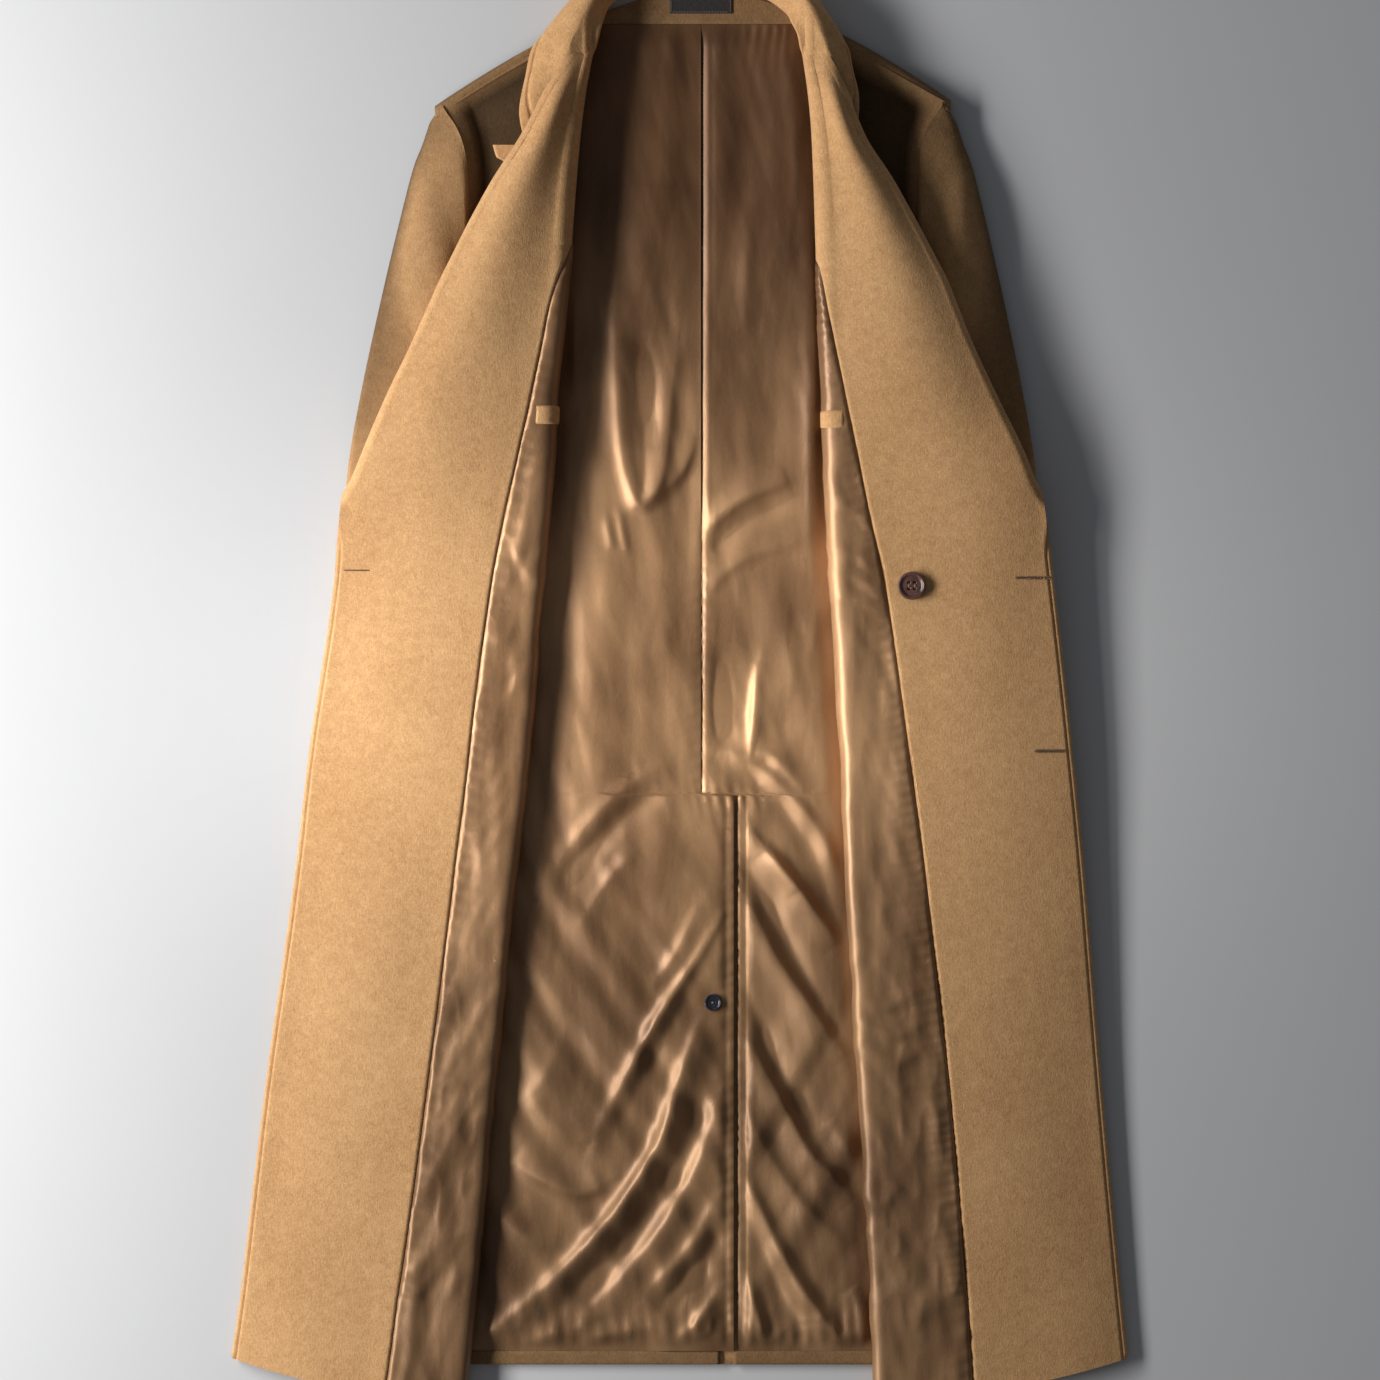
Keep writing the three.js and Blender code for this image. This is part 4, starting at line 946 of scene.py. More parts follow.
def make_satin(name):
    f = Finish(name)
    # Painted sheen: long random streaks along the coat lighten the satin's colour and also vary its
    # roughness.
    painted_sheen_streak = f.noise(26.0, 3.0, 0.55, stretch=(1.0, 0.22, 1.0), turn=0.12, distortion=0.4)
    drift = f.noise(8.0, 2.0, 0.5)
    thread = f.noise(1900.0, 1.0, 0.5, stretch=(1.0, 0.12, 1.0))
    tone = f.span(painted_sheen_streak * 0.6 + drift * 0.5 + thread * 0.12, 0.42, 0.78)
    # Painted shade at the top of the lining, painted light through its middle and painted shade at its
    # bottom: the satin's colours are scaled by place along the coat.
    top, middle, bottom = (f.blended(tone, colour("bronze_dark", shade), colour("bronze_painted_sheen", shade))
                           for shade in SATIN_PAINTED_LIGHT_AND_SHADE)
    lower = f.blended(f.span(f.place_along("Y"), -0.32, -0.10), bottom, middle)
    f.set(Base_Color=f.blended(f.span(f.place_along("Y"), 0.14, 0.42), lower, top), Metallic=0.34,
          Roughness=f.span(painted_sheen_streak, 0.3, 0.7, 0.40, 0.50), Anisotropic=0.3, Specular_IOR_Level=0.5,
          Sheen_Weight=0.12, Sheen_Roughness=0.4, Sheen_Tint=(0.85, 0.66, 0.46, 1.0))
    rumple = f.noise(85.0, 3.0, 0.5, stretch=(1.0, 0.45, 1.0), turn=0.3, distortion=0.6)
    f.rough(rumple + thread * 0.04, 0.0009, 0.35)
    return f.material


def make_label(name):
    f = Finish(name)
    warp = f.noise(1700.0, 1.0, 0.5, stretch=(1.0, 0.15, 1.0))
    weft = f.noise(1700.0, 1.0, 0.5, stretch=(0.15, 1.0, 1.0))
    weave = f.span(warp * 0.5 + weft * 0.5, 0.35, 0.7)
    f.set(Base_Color=f.blended(weave, (0.006, 0.005, 0.005), (0.030, 0.026, 0.024)), Roughness=0.62,
          Sheen_Weight=0.1)
    f.rough(warp + weft, 0.0004, 0.6)
    return f.material


def make_horn(name):
    f = Finish(name)
    swirl = f.noise(120.0, 4.0, 0.6, stretch=(1.0, 0.4, 1.0), turn=0.8, distortion=1.6)
    f.set(Base_Color=f.blended(f.span(swirl, 0.35, 0.7), colour("horn"), colour("horn", 3.2)),
          Roughness=0.28, Coat_Weight=0.35, Coat_Roughness=0.12)
    f.rough(swirl, 0.0002, 0.3)
    return f.material


def make_snap(name):
    f = Finish(name)
    mark = f.noise(260.0, 3.0, 0.6)
    f.set(Base_Color=f.blended(f.span(mark, 0.35, 0.7), (0.008, 0.009, 0.016), (0.03, 0.034, 0.052)),
          Roughness=0.22, Coat_Weight=0.5, Coat_Roughness=0.08)
    return f.material


def make_thread(name):
    f = Finish(name)
    twist = f.noise(2600.0, 1.0, 0.5)
    f.set(Base_Color=f.blended(twist, (0.16, 0.085, 0.04), (0.42, 0.25, 0.12)), Roughness=0.7,
          Sheen_Weight=0.15)
    f.rough(twist, 0.0002, 0.5)
    return f.material


# Painted shade: a near-black sheet with a fine fuzz that stands for the shade in a buttonhole's gap.
def make_slit_painted_shade(name):
    f = Finish(name)
    fuzz = f.noise(1500.0, 2.0, 0.5)
    f.set(Base_Color=f.blended(fuzz, (0.010, 0.006, 0.004), (0.05, 0.028, 0.015)), Roughness=0.95)
    return f.material


def make_floor(name):
    f = Finish(name)
    grain = f.noise(18.0, 2.0, 0.5)
    f.set(Base_Color=f.blended(grain, colour("floor", 0.985), colour("floor")), Roughness=0.95,
          Specular_IOR_Level=0.1)
    return f.material


MAKERS = {
    "camel wool": make_wool,
    "camel wool, outside": make_outside_wool_with_painted_shade,
    "camel wool, hem": make_hem_wool_with_painted_shade,
    "bronze satin": make_satin,
    "label weave": make_label,
    "dark horn": make_horn,
    "snap enamel": make_snap,
    "sewing thread": make_thread,
    "buttonhole slit": make_slit_painted_shade,
    "studio floor": make_floor,
}


# Operators, one for a piece or a group of like pieces

class COAT_OT_backs(Operator):
    """Makes the two halves of the wool back, the vent's underlap and the hem"""

    bl_idname = "coat.backs"
    bl_label = "Back, vent and hem"
    bl_options = {"REGISTER", "UNDO"}

    def execute(self, context):
        for side, sign in SIGN.items():
            side_seam = Front(side).value["side"]
            k = 1 if side == "left" else 3
            levels = [(y, y, float(side_seam(y)) + 1.0) for y in np.linspace(0, UNDERARM_LEVEL, BACK_ROWS)]
            levels += [(row[0], row[k], row[k + 1] + 1.8) for row in flowing(BACK_TOP, BACK_TOP_ROWS)]
            shares = np.linspace(0, 1, BACK_COLUMNS)
            seam = sign * CENTRE_BACK + SEAM_GAP / 2
            grid = []
            for y, far, out in levels:
                x = sign * mix(seam, out, shares)
                grid.append(np.stack([x, mix(y, far, shares ** 1.5), np.full_like(x, WOOL / 2)], axis=1))
            top = grid[-1]
            rise = smooth(0.4, 0.62, shares)
            roll = [(0, 0), (3, 0.12), (4, 0.55), (0, 0.92), (-SHOULDER_ROLL, 1)]
            turns = flowing(roll, BACK_TURN_ROWS)[1:]
            for i, (step, height) in enumerate(turns):
                row = top.copy()
                row[:, 1] += mix((i + 1) * 0.2, step, rise)
                row[:, 2] += rise * height * SHOULDER_RISE
                grid.append(row)
            grid = np.array(grid)
            normal = normals_of(grid)
            normal *= np.sign(normal[..., 2:3].mean())
            under, over = grid - normal * WOOL / 2, grid + normal * WOOL / 2
            under[..., 2] = np.maximum(under[..., 2], 0.02)
            piece = wall(f"wool_back_{side}", under, over, finish("camel wool, outside"))
            sewn(piece, [f"back_{side}"], grid)
        underlap = (CENTRE_BACK + SEAM_GAP, VENT_SLIT_LEFT - 1, VENT_TOP - 4, HEM_DEPTH + SEAM_GAP)
        strips = {
            "hem_left": (HEM_LEFT_END, HEM_LEFT_AT_VENT, HEM_DEPTH, 0),
            "hem_right": (VENT_SLIT_LEFT, HEM_RIGHT_END, HEM_DEPTH, 0),
            "vent_underlap": underlap,
        }
        for node, (start, end, top, bottom) in strips.items():
            columns = max(14, int((end - start) / 3))
            rows = max(10, int((top - bottom) / 5))
            y, x = np.meshgrid(np.linspace(top, bottom, rows), np.linspace(start, end, columns),
                               indexing="ij")
            edge = np.minimum(y - bottom, top - y)
            crown = 0.5 * smooth(0, 3, edge) * (1 + 0.5 * cloud(x, y, (18, 9), 41))
            base = np.stack([x, y, np.full_like(x, ON_BACK + 0.02)], axis=-1)
            piece = wall(f"wool_{node}", base, raised(base, WOOL * 0.8 + crown), finish("camel wool, hem"))
            sewn(piece, [node], base)
        return {"FINISHED"}


class COAT_OT_back_linings(Operator):
    """Makes the satin of the back, with the centre pleat, the seams, the vent slit and its creases"""

    bl_idname = "coat.back_linings"
    bl_label = "Back lining"
    bl_options = {"REGISTER", "UNDO"}

    def execute(self, context):
        for side, sign in SIGN.items():
            fold_at = Front(side).value["fold"]
            slit = VENT_SLIT_LEFT if side == "left" else VENT_SLIT_RIGHT
            bottom, top = HEM_DEPTH + SEAM_GAP, LINING_TOP - SEAM_GAP
            levels = np.concatenate([levels_between(top, VENT_TOP + 1, LINING_STEP),
                                     levels_between(VENT_TOP - 1, bottom, LINING_STEP)])
            near = np.linspace(0, 1, LINING_COLUMNS)
            shares = mix(near, near ** 2, 0.45)
            grid = []
            for y in levels:
                inner = CENTRE_BACK + sign * SEAM_GAP / 2 if y > VENT_TOP else slit
                x = mix(inner, sign * (float(fold_at(y)) + LINING_UNDER_FRONT), shares)
                level = np.minimum(y, top - np.maximum(0, np.abs(x) - SHOULDER_START - 14) * SHOULDER_SLOPE)
                grid.append(np.stack([x, level, np.full_like(x, LINING_MID)], axis=1))
            grid = np.array(grid)
            flat = grid.copy()
            x, y = grid[..., 0], np.repeat(levels[:, None], grid.shape[1], axis=1)
            free = smooth(0, 24, fold_at(y) + 8 - np.abs(x))
            ends = smooth(0, 22, np.minimum(y - HEM_DEPTH, LINING_TOP - y))
            gather = puckered(x, LINING_TOP - y, 9.5, 15.0, 12) * smooth(25, 60, x)
            gather = gather * 1.3 * smooth(0, 4, LINING_TOP - y)
            lap = smooth(-45, -16, x) * ON_BACK * (y <= VENT_TOP) if side == "left" else 0
            height = np.maximum(self.relief(x, y, side), 0.1) * context.scene.coat_sizes.crease
            grid[..., 2] += lap + (height * ends + gather) * free
            piece = cloth(f"satin_back_{side}", grid, finish("bronze satin"), flip=side == "right")
            sewn(piece, [f"back_lining_{side}"], flat)
        return {"FINISHED"}

    def relief(self, x, y, side):
        """How high the satin stands over its pattern: its creases, then what its seams do to them."""
        height = creased(x, y, BACK_CREASES[side]) + self.rumples(x, y, side)
        from_button = np.hypot(x - VENT_BUTTON[0], y - VENT_BUTTON[1])
        height *= 1 - 0.85 * np.exp(-(from_button / VENT_BUTTON_DIMPLE) ** 2)
        away = np.abs(x - x[:, :1])
        upper = y > VENT_TOP
        height = 2.0 + height * mix(0.25, 1.15, smooth(0, 14, away))

        # The centre seam and, high up, the pleat
        pleat = smooth(*PLEAT_LEVELS, y)
        seam = puckered(y, away, 12.5, 7.0, 5 if side == "left" else 6)
        height += np.where(upper, seam * 0.5 * (1 - pleat), seam * 0.55)
        if side == "left":
            height += np.where(upper, mix(-0.6, 0.4, pleat) * np.exp(-away / 2.0), 0)
        else:
            height += np.where(upper, 0.4 * pleat * np.exp(-(away - 6.5) ** 2 / 5), 0)
            height -= np.where(upper, 1.5 * np.exp(-(away / 3.0) ** 2), 0)

        # The vent's rolled edge and the line of its stitches
        height += np.where(upper, 0, 0.7 * np.exp(-(away - 2) ** 2 / 5))
        height -= np.where(upper, 0, 0.4 * np.exp(-(away - 7) ** 2 / 1.6))

        # The slanting seam at the vent's top, and the gathers over the hem
        from_jog = y - (VENT_TOP - 2 - (x - CENTRE_BACK) * 0.07)
        from_seam = x - CENTRE_BACK
        near_jog = smooth(62, 48, from_seam) * smooth(-14, -4, from_seam)
        dent = np.exp(-np.abs(from_jog) / 2.2)
        height += near_jog * (puckered(x, from_jog, 11.0, 9.0, 9) * 0.8 - 1.0 * dent)
        return height + puckered(x, y - HEM_DEPTH, 13.0, 22.0, 15) * 2.0

    def rumples(self, x, y, side):
        """The satin's smaller creases, which follow no line of the photo."""
        seed = 21 if side == "left" else 31
        low = smooth(760, 300, y)
        broad = cloud(x, y, (26, 260), seed) * 1.9 + cloud(x + y * 0.12, y, (15, 150), seed + 1) * 0.6
        turned = x + (0.75 if side == "left" else -0.6) * y * SIGN["right"]
        slant = cloud(turned * 0.8, y + x * 0.3, (17, 240), seed + 2) * 2.0
        fine = cloud(x + 0.3 * y, y, (8, 40), seed + 3) * 0.22
        crumple = (1 - np.abs(cloud(x, y, (12, 17), seed + 4))) * 2.2 * smooth(70, 12, y)
        return 1.0 + broad * mix(1, 0.7, low) + slant * mix(0.15, 1, low) + fine + crumple


class COAT_OT_neck(Operator):
    """Makes the wool facing at the back neck, the bare label on it and the stitches round the label"""

    bl_idname = "coat.neck"
    bl_label = "Neck facing and label"
    bl_options = {"REGISTER", "UNDO"}

    def execute(self, context):
        x = mix(NECK_LEFT, NECK_RIGHT, np.linspace(0, 1, NECK_COLUMNS))
        top = NECK_TOP - (x - CENTRE_BACK) ** 2 * NECK_CURVE
        down = np.linspace(0, 1, NECK_ROWS)
        y = mix(top[None], LINING_TOP, down[:, None])
        x = np.repeat(x[None], NECK_ROWS, axis=0)
        edge = np.minimum(y - LINING_TOP, 40)
        rise = FACING * smooth(-1.2, 1.6, edge) + 0.25 * cloud(x, y, (9, 9), 51)
        base = np.stack([x, y, np.full_like(x, ON_BACK)], axis=-1)
        piece = wall("wool_neck_facing", base, raised(base, rise), finish("camel wool, hem"))
        sewn(piece, ["back_neck_facing"], base)
        self.label()
        return {"FINISHED"}

    def label(self):
        """The bare woven label, with a running stitch round it."""
        foot = ON_BACK + FACING + SEAM_GAP
        y, x = np.meshgrid(np.linspace(LABEL_TOP, LABEL_BOTTOM, LABEL_ROWS),
                           CENTRE_BACK + np.linspace(-LABEL_HALF_WIDTH, LABEL_HALF_WIDTH, LABEL_COLUMNS),
                           indexing="ij")
        from_side = np.minimum(LABEL_HALF_WIDTH - abs(x - CENTRE_BACK), 9)
        edge = np.minimum(np.minimum(y - LABEL_BOTTOM, LABEL_TOP - y), from_side)
        rise = 0.35 + 0.5 * smooth(0, 0.8, edge) - 0.18 * smooth(1.6, 2.4, edge)
        rise = rise + 0.05 * np.cos(x * 9) * np.cos(y * 9)
        base = np.stack([x, y, np.full_like(x, foot)], axis=-1)
        label = wall("label_cloth", base, raised(base, rise), finish("label weave"))
        sewn(label, ["label"], base)
        inset, pitch, stitch = 1.6, 2.4, np.linspace(0, 1.7, 5)
        height = lambda d: foot + 0.75 + 0.1 * math.sin(d * 1.8)
        lines = []
        for edge_x in (inset - LABEL_HALF_WIDTH, LABEL_HALF_WIDTH - inset):
            for start in np.arange(LABEL_BOTTOM + inset, LABEL_TOP - 2, pitch):
                lines.append([(CENTRE_BACK + edge_x, start + d, height(d)) for d in stitch])
        for edge_y in (LABEL_BOTTOM + 1.4, LABEL_TOP - 1.4):
            for start in np.arange(3.1 - LABEL_HALF_WIDTH, LABEL_HALF_WIDTH - 4, pitch):
                lines.append([(CENTRE_BACK + start + d, edge_y, height(d)) for d in stitch])
        sewn(threads("label_stitches", lines, LABEL_THREAD), [])


class COAT_OT_fronts(Operator):
    """Makes the outer wool of the fronts, folded over at the sides and rolled at the front edges"""

    bl_idname = "coat.fronts"
    bl_label = "Fronts, outside"
    bl_options = {"REGISTER", "UNDO"}

    def execute(self, context):
        for side in SIGN:
            front = Front(side)
            levels = levels_between(front.top + 5, 0, FRONT_STEP)
            stretch = lambda st, y: (st["start"], st["end"] - 6 * float(smooth(1132, 1140, y)))
            grid_at = lambda off: front.sheet(levels, stretch, FRONT_COLUMNS, off)

            def outside(s, out, y, st):
                lip = smooth(BREAK_LEVEL + 12, BREAK_LEVEL - 12, y)
                beyond, before = s - st["edge"], st["end"] - s
                rise = lip * (COVER_GAP + FACING * 0.8) * smooth(0.2, 1.6, beyond) * smooth(0, 3.0, before)
                return WOOL / 2 + rise

            piece = wall(f"wool_front_{side}", grid_at(level_off(-WOOL / 2)), grid_at(outside),
                         finish("camel wool, outside"))
            sewn(piece, [f"front_{side}"], grid_at(level_off(0.0)))
        return {"FINISHED"}


class COAT_OT_facings(Operator):
    """Makes the wool facings, from the lining seam to the front edge and round its roll"""

    bl_idname = "coat.facings"
    bl_label = "Facings"
    bl_options = {"REGISTER", "UNDO"}

    def execute(self, context):
        for side in SIGN:
            front = Front(side)
            seed = 61 if side == "left" else 71
            levels = levels_between(front.top + 6, 0, FACING_STEP)
            stretch = lambda st, y: (st["seam"] + SEAM_GAP, st["edge"] - 4 * float(smooth(1136, 1142, y)))

            def over(s, out, y, st):
                from_seam, to_edge = s - st["seam"], st["edge"] - s
                rise = FACING * (0.25 + 0.75 * smooth(0, 2.2, from_seam))
                below = float(smooth(*BREAK_LEVELS, y))
                rise *= mix(1.0, 0.3 + 0.7 * smooth(0, 1.6, to_edge), below)
                level = np.full_like(s, y)
                swell = cloud(out, level, (70, 190), seed) * 0.9
                swell += cloud(out, level, (28, 60), seed + 1) * 0.22
                swell *= smooth(0, 25, from_seam) * smooth(0, 20, to_edge)
                pull = puckered(level, from_seam, FACING_PUCKER, 6.0, seed + 2) * 0.35
                return COVER + rise + swell + pull * float(smooth(420, 300, y))

            grid = front.sheet(levels, stretch, FACING_COLUMNS, over)
            flat = front.sheet(levels, stretch, FACING_FLAT_COLUMNS, level_off(COVER))
            piece = cloth(f"wool_facing_{side}", grid, finish("camel wool"), flip=side == "right")
            sewn(piece, [f"facing_{side}"], flat)
        return {"FINISHED"}


class COAT_OT_front_linings(Operator):
    """Makes the satin between the folds and the facings, with its creases"""

    bl_idname = "coat.front_linings"
    bl_label = "Front linings"
    bl_options = {"REGISTER", "UNDO"}

    def execute(self, context):
        crease = context.scene.coat_sizes.crease
        for side in SIGN:
            front = Front(side)
            seed = 81 if side == "left" else 91
            pitch, pull = (13.0, 1.1) if side == "left" else (9.5, 1.5)
            levels = levels_between(front.top, 0, LINING_STEP)
            stretch = lambda st, y: (max(st["under"], 0), st["seam"] - SEAM_GAP)

            def over(s, out, y, st):
                from_seam, from_start = st["seam"] - s, s - max(st["under"], 0)
                level = np.full_like(s, y)
                shown = smooth(0, 16, s - st["inner"] + 14) * smooth(0, 4, from_seam)
                shown *= smooth(0, 12, from_start)
                rows = [row for row in FRONT_CREASES[side]
                        if min(p[1] for p in row[0]) - 25 < y < max(p[1] for p in row[0]) + 25]
                rise = creased(out * front.sign, level, rows)
                broad = cloud(out, level, (12, 40), seed) * 0.9
                rise += 0.9 + broad + cloud(out + level * 0.4, level, (9, 22), seed + 1) * 0.6
                crumple = (1 - np.abs(cloud(out, level, (16, 26), seed + 3))) * 1.6
                rise += crumple * mix(0.35, 1.0, float(smooth(430, 250, y)))
                rise += puckered(level, from_seam, pitch, 9.0, seed + 2) * pull * smooth(0, 2, from_seam)
                rise = np.maximum(rise, 0) * shown * crease * 0.9
                return COVER + SATIN * smooth(0, 1.5, from_seam) + rise

            grid = front.sheet(levels, stretch, FRONT_LINING_COLUMNS, over)
            flat = front.sheet(levels, stretch, FRONT_LINING_FLAT_COLUMNS, level_off(COVER))
            piece = cloth(f"satin_front_{side}", grid, finish("bronze satin"), flip=side == "right")
            sewn(piece, [f"front_lining_{side}"], flat)
        return {"FINISHED"}


class COAT_OT_lapels(Operator):
    """Makes the peak lapels, which lie turned under the rolled front edges"""

    bl_idname = "coat.lapels"
    bl_label = "Lapels"
    bl_options = {"REGISTER", "UNDO"}

    def execute(self, context):
        below = ROLL_RADIUS * 2.1 + COVER + SEAM_GAP * 2.7 + FACING + 1.3
        for side in SIGN:
            front = Front(side)
            rows = flowing(LAPELS[side], LAPEL_ROWS)
            shares = np.linspace(0, 1, LAPEL_COLUMNS)
            level = np.repeat(rows[:, :1], LAPEL_COLUMNS, axis=1)
            x = mix(rows[:, 1:2], rows[:, 2:3], shares[None])
            z = front.value["rim"](level) - below
            grid = np.stack([x * SIGN[side], level, z], axis=-1)
            thick = 1.25 * smooth(-0.03, 0.03, np.minimum(shares, 1 - shares)) + 0 * x
            piece = wall(f"wool_lapel_{side}", raised(grid, -thick), raised(grid, thick),
                         finish("camel wool"))
            sewn(piece, [f"lapel_{side}"], grid)
        return {"FINISHED"}


class COAT_OT_collar(Operator):
    """Makes the collar, rolled over from its stand to the edge of its fall"""

    bl_idname = "coat.collar"
    bl_label = "Collar"
    bl_options = {"REGISTER", "UNDO"}

    def execute(self, context):
        grid = self.fall()
        from_end = np.minimum(np.arange(COLLAR_ROWS), np.arange(COLLAR_ROWS)[::-1])
        self.seat(grid, from_end)
        grid = np.concatenate([self.stand(grid), grid], axis=1)
        normal = normals_of(grid)
        normal *= np.sign(normal[:, STAND_COLUMNS + 20, 2].mean())
        share = np.concatenate([np.zeros(STAND_COLUMNS) + 0.03, np.linspace(0.03, 1, COLLAR_COLUMNS)])
        share = share[None, :, None]
        thick = 1.3 * smooth(-0.01, 0.03, np.minimum(share, 1 - share))
        ends = smooth(-0.5, 6, from_end)[:, None, None]
        stitch = -1.5 * np.exp(-((share - 0.87) / 0.016) ** 2)
        over = grid + normal * (thick * ends + stitch)
        piece = wall("wool_collar", grid - normal * thick * ends, over, finish("camel wool"))
        sewn(piece, ["collar"], grid)
        return {"FINISHED"}

    def fall(self):
        """The collar from left to right, each row from the neck seam over the ridge to the edge."""
        flip = np.array([-1, 1, 1])
        left = [np.array(section, float) * flip for section in COLLARS["left"]]
        right = [np.array(section, float) for section in COLLARS["right"]]
        for sections, shifts in ((left, (-5.8, -2.0, -1.0)), (right, (4.5, 2.4, 1.5))):
            sections[0][:2, 1] -= 7
            for section, shift in zip(sections, shifts):
                section[0, 0] += shift
        centre = np.array(COLLAR_CENTRE, float) * flip
        sections = flowing(np.array([*left, centre, *right[::-1]]), COLLAR_ROWS)
        return np.array([flowing(section, COLLAR_COLUMNS) for section in sections])

    def seat(self, grid, from_end):
        """Lays the collar's ends on the facings, and sinks their last rows into them."""
        fronts = {side: Front(side) for side in SIGN}
        ridge = COLLAR_COLUMNS // 3
        for row, rows_in in zip(grid, from_end):
            front = fronts["left" if row[0, 0] < 0 else "right"]
            over = mix(-1.3, 0.3, float(smooth(0, 9, rows_in)))
            for point in row[:ridge + 1]:
                joined = float(smooth(COLLAR_FREE, COLLAR_JOINED, point[1]))
                if joined > 0:
                    out = max(abs(point[0]), float(front.value["fold"](COLLAR_SEAT)) + 4)
                    surface = front.place(out, min(point[1], COLLAR_SEAT), COVER + FACING + over)[0][2]
                    point[2] = mix(point[2], surface, joined)
            joined = float(smooth(COLLAR_FREE, COLLAR_JOINED, row[ridge, 1]))
            lift = (row[ridge, 2] - row[ridge + 1, 2] - 0.15) * joined
            row[ridge + 1:, 2] += lift * np.linspace(1, 0, COLLAR_COLUMNS - ridge - 1)

    def stand(self, grid):
        """The lowest part of the stand, from its foot at the neck up to the neck seam."""
        seam, way = grid[:, 0], grid[:, 12] - grid[:, 0]
        way[:, 2] = 0
        way /= np.linalg.norm(way, axis=1, keepdims=True)
        foot = seam + way * 3.0
        foot[:, 2] = np.minimum(mix(seam[:, 2] - 4, 3.4, smooth(1141, 1150, seam[:, 1])), seam[:, 2] - 0.8)
        down = np.linspace(1, 0, STAND_COLUMNS + 1)[:-1, None, None]
        bow = np.sqrt(1 - (1 - down) ** 2)
        rows = np.concatenate([mix(seam, foot, bow)[..., :2], mix(seam, foot, down)[..., 2:]], axis=-1)
        return np.moveaxis(rows, 0, 1)


class COAT_OT_sleeves(Operator):
    """Makes the two-piece sleeves, from the armhole to the cuff inside the folded front"""

    bl_idname = "coat.sleeves"
    bl_label = "Sleeves"
    bl_options = {"REGISTER", "UNDO"}

    def execute(self, context):
        across = np.linspace(0, 1, SLEEVE_COLUMNS)[None]
        from_top = np.arange(float(SLEEVE_ROWS))[:, None]
        rows = np.array([(*outer, *via, *inner, *rest) for outer, via, inner, *rest in SLEEVE], float)
        rows = flowing(rows, SLEEVE_ROWS)
        for side in SIGN:
            ox, oy, vx, vy, ix, iy, out_z, in_z, top, low, rise = rows.T[:, :, None]
            top = top + 4.5 * smooth(840, 940, vy)
            most = RIGHT_SLEEVE_SHIFT if side == "right" else 0
            shift = most * (oy - CUFF_LEVEL) / (ARM_TOP - CUFF_LEVEL)
            bend_x, bend_y = 2 * vx - (ox + ix) / 2, 2 * vy - (oy + iy) / 2
            x = mix(mix(ox, bend_x, across), mix(bend_x, ix, across), across) + shift
            y = mix(mix(oy, bend_y, across), mix(bend_y, iy, across), across)
            hole_x, hole_y, hole_z = (value[None] for value in Front(side).armhole(across[0]))
            sewn_to = smooth(mix(6, 15, smooth(0, 0.25, across)), 0, from_top)
            x = mix(x, hole_x - 3.0, sewn_to)
            y = mix(y, hole_y, sewn_to)
            edge = mix(out_z, in_z, across)
            drape = cloud(x, y, (45, 90), 101) * 0.8 + cloud(x, y, (20, 34), 102) * 0.25
            inside = np.sin(np.pi * across) ** 0.6
            over = mix(edge + SLEEVE_LIFT, top, inside) + drape * inside
            over = mix(over, hole_z + 1.2, smooth(7, 0, from_top))
            outer_drop = smooth(0, 0.16, across)
            inner_rise = smooth(0, 1, (across - rise + 0.2) / 0.2)
            under = mix(mix(out_z - SLEEVE_LIFT, low, outer_drop), in_z - SLEEVE_LIFT, inner_rise)
            rim = np.minimum(across, 1 - across)
            thick = WOOL / 2 * (0.5 + 0.5 * smooth(0, 0.03, rim)) + 0 * x
            for part, height in (("top", over), ("under", under)):
                grid = np.stack([x * SIGN[side], y, height], axis=-1)
                piece = wall(f"sleeve_cloth_{part}_{side}", raised(grid, -thick), raised(grid, thick),
                             finish("camel wool, outside"))
                sewn(piece, [f"sleeve_{part}_{side}"], grid)
        return {"FINISHED"}


class COAT_OT_pocket_tabs(Operator):
    """Makes the wool ends of the inside pockets, at the folds"""

    bl_idname = "coat.pocket_tabs"
    bl_label = "Pocket tabs"
    bl_options = {"REGISTER", "UNDO"}

    def execute(self, context):
        for side in SIGN:
            front = Front(side)
            top, bottom = POCKET_TABS[side] + POCKET_TAB_HALF, POCKET_TABS[side] - POCKET_TAB_HALF
            levels = np.linspace(top, bottom, POCKET_TAB_ROWS)
            stretch = lambda st, y: (st["inner"] - POCKET_TAB_REACH, st["flap"] + 2)

            def over(s, out, y, st):
                edge = min(top - y, y - bottom)
                ends = np.minimum(s - st["inner"] + POCKET_TAB_REACH, st["flap"] + 2 - s)
                return COVER + SATIN + 1.2 + 1.3 * smooth(-0.5, 2.0, np.minimum(ends, edge))

            grid = front.sheet(levels, stretch, POCKET_TAB_COLUMNS, over)
            base = front.sheet(levels, stretch, POCKET_TAB_COLUMNS, level_off(COVER + SATIN + 0.4))
            piece = wall(f"wool_pocket_tab_{side}", base, grid, finish("camel wool"))
            sewn(piece, [f"pocket_tab_{side}"], base)
        return {"FINISHED"}


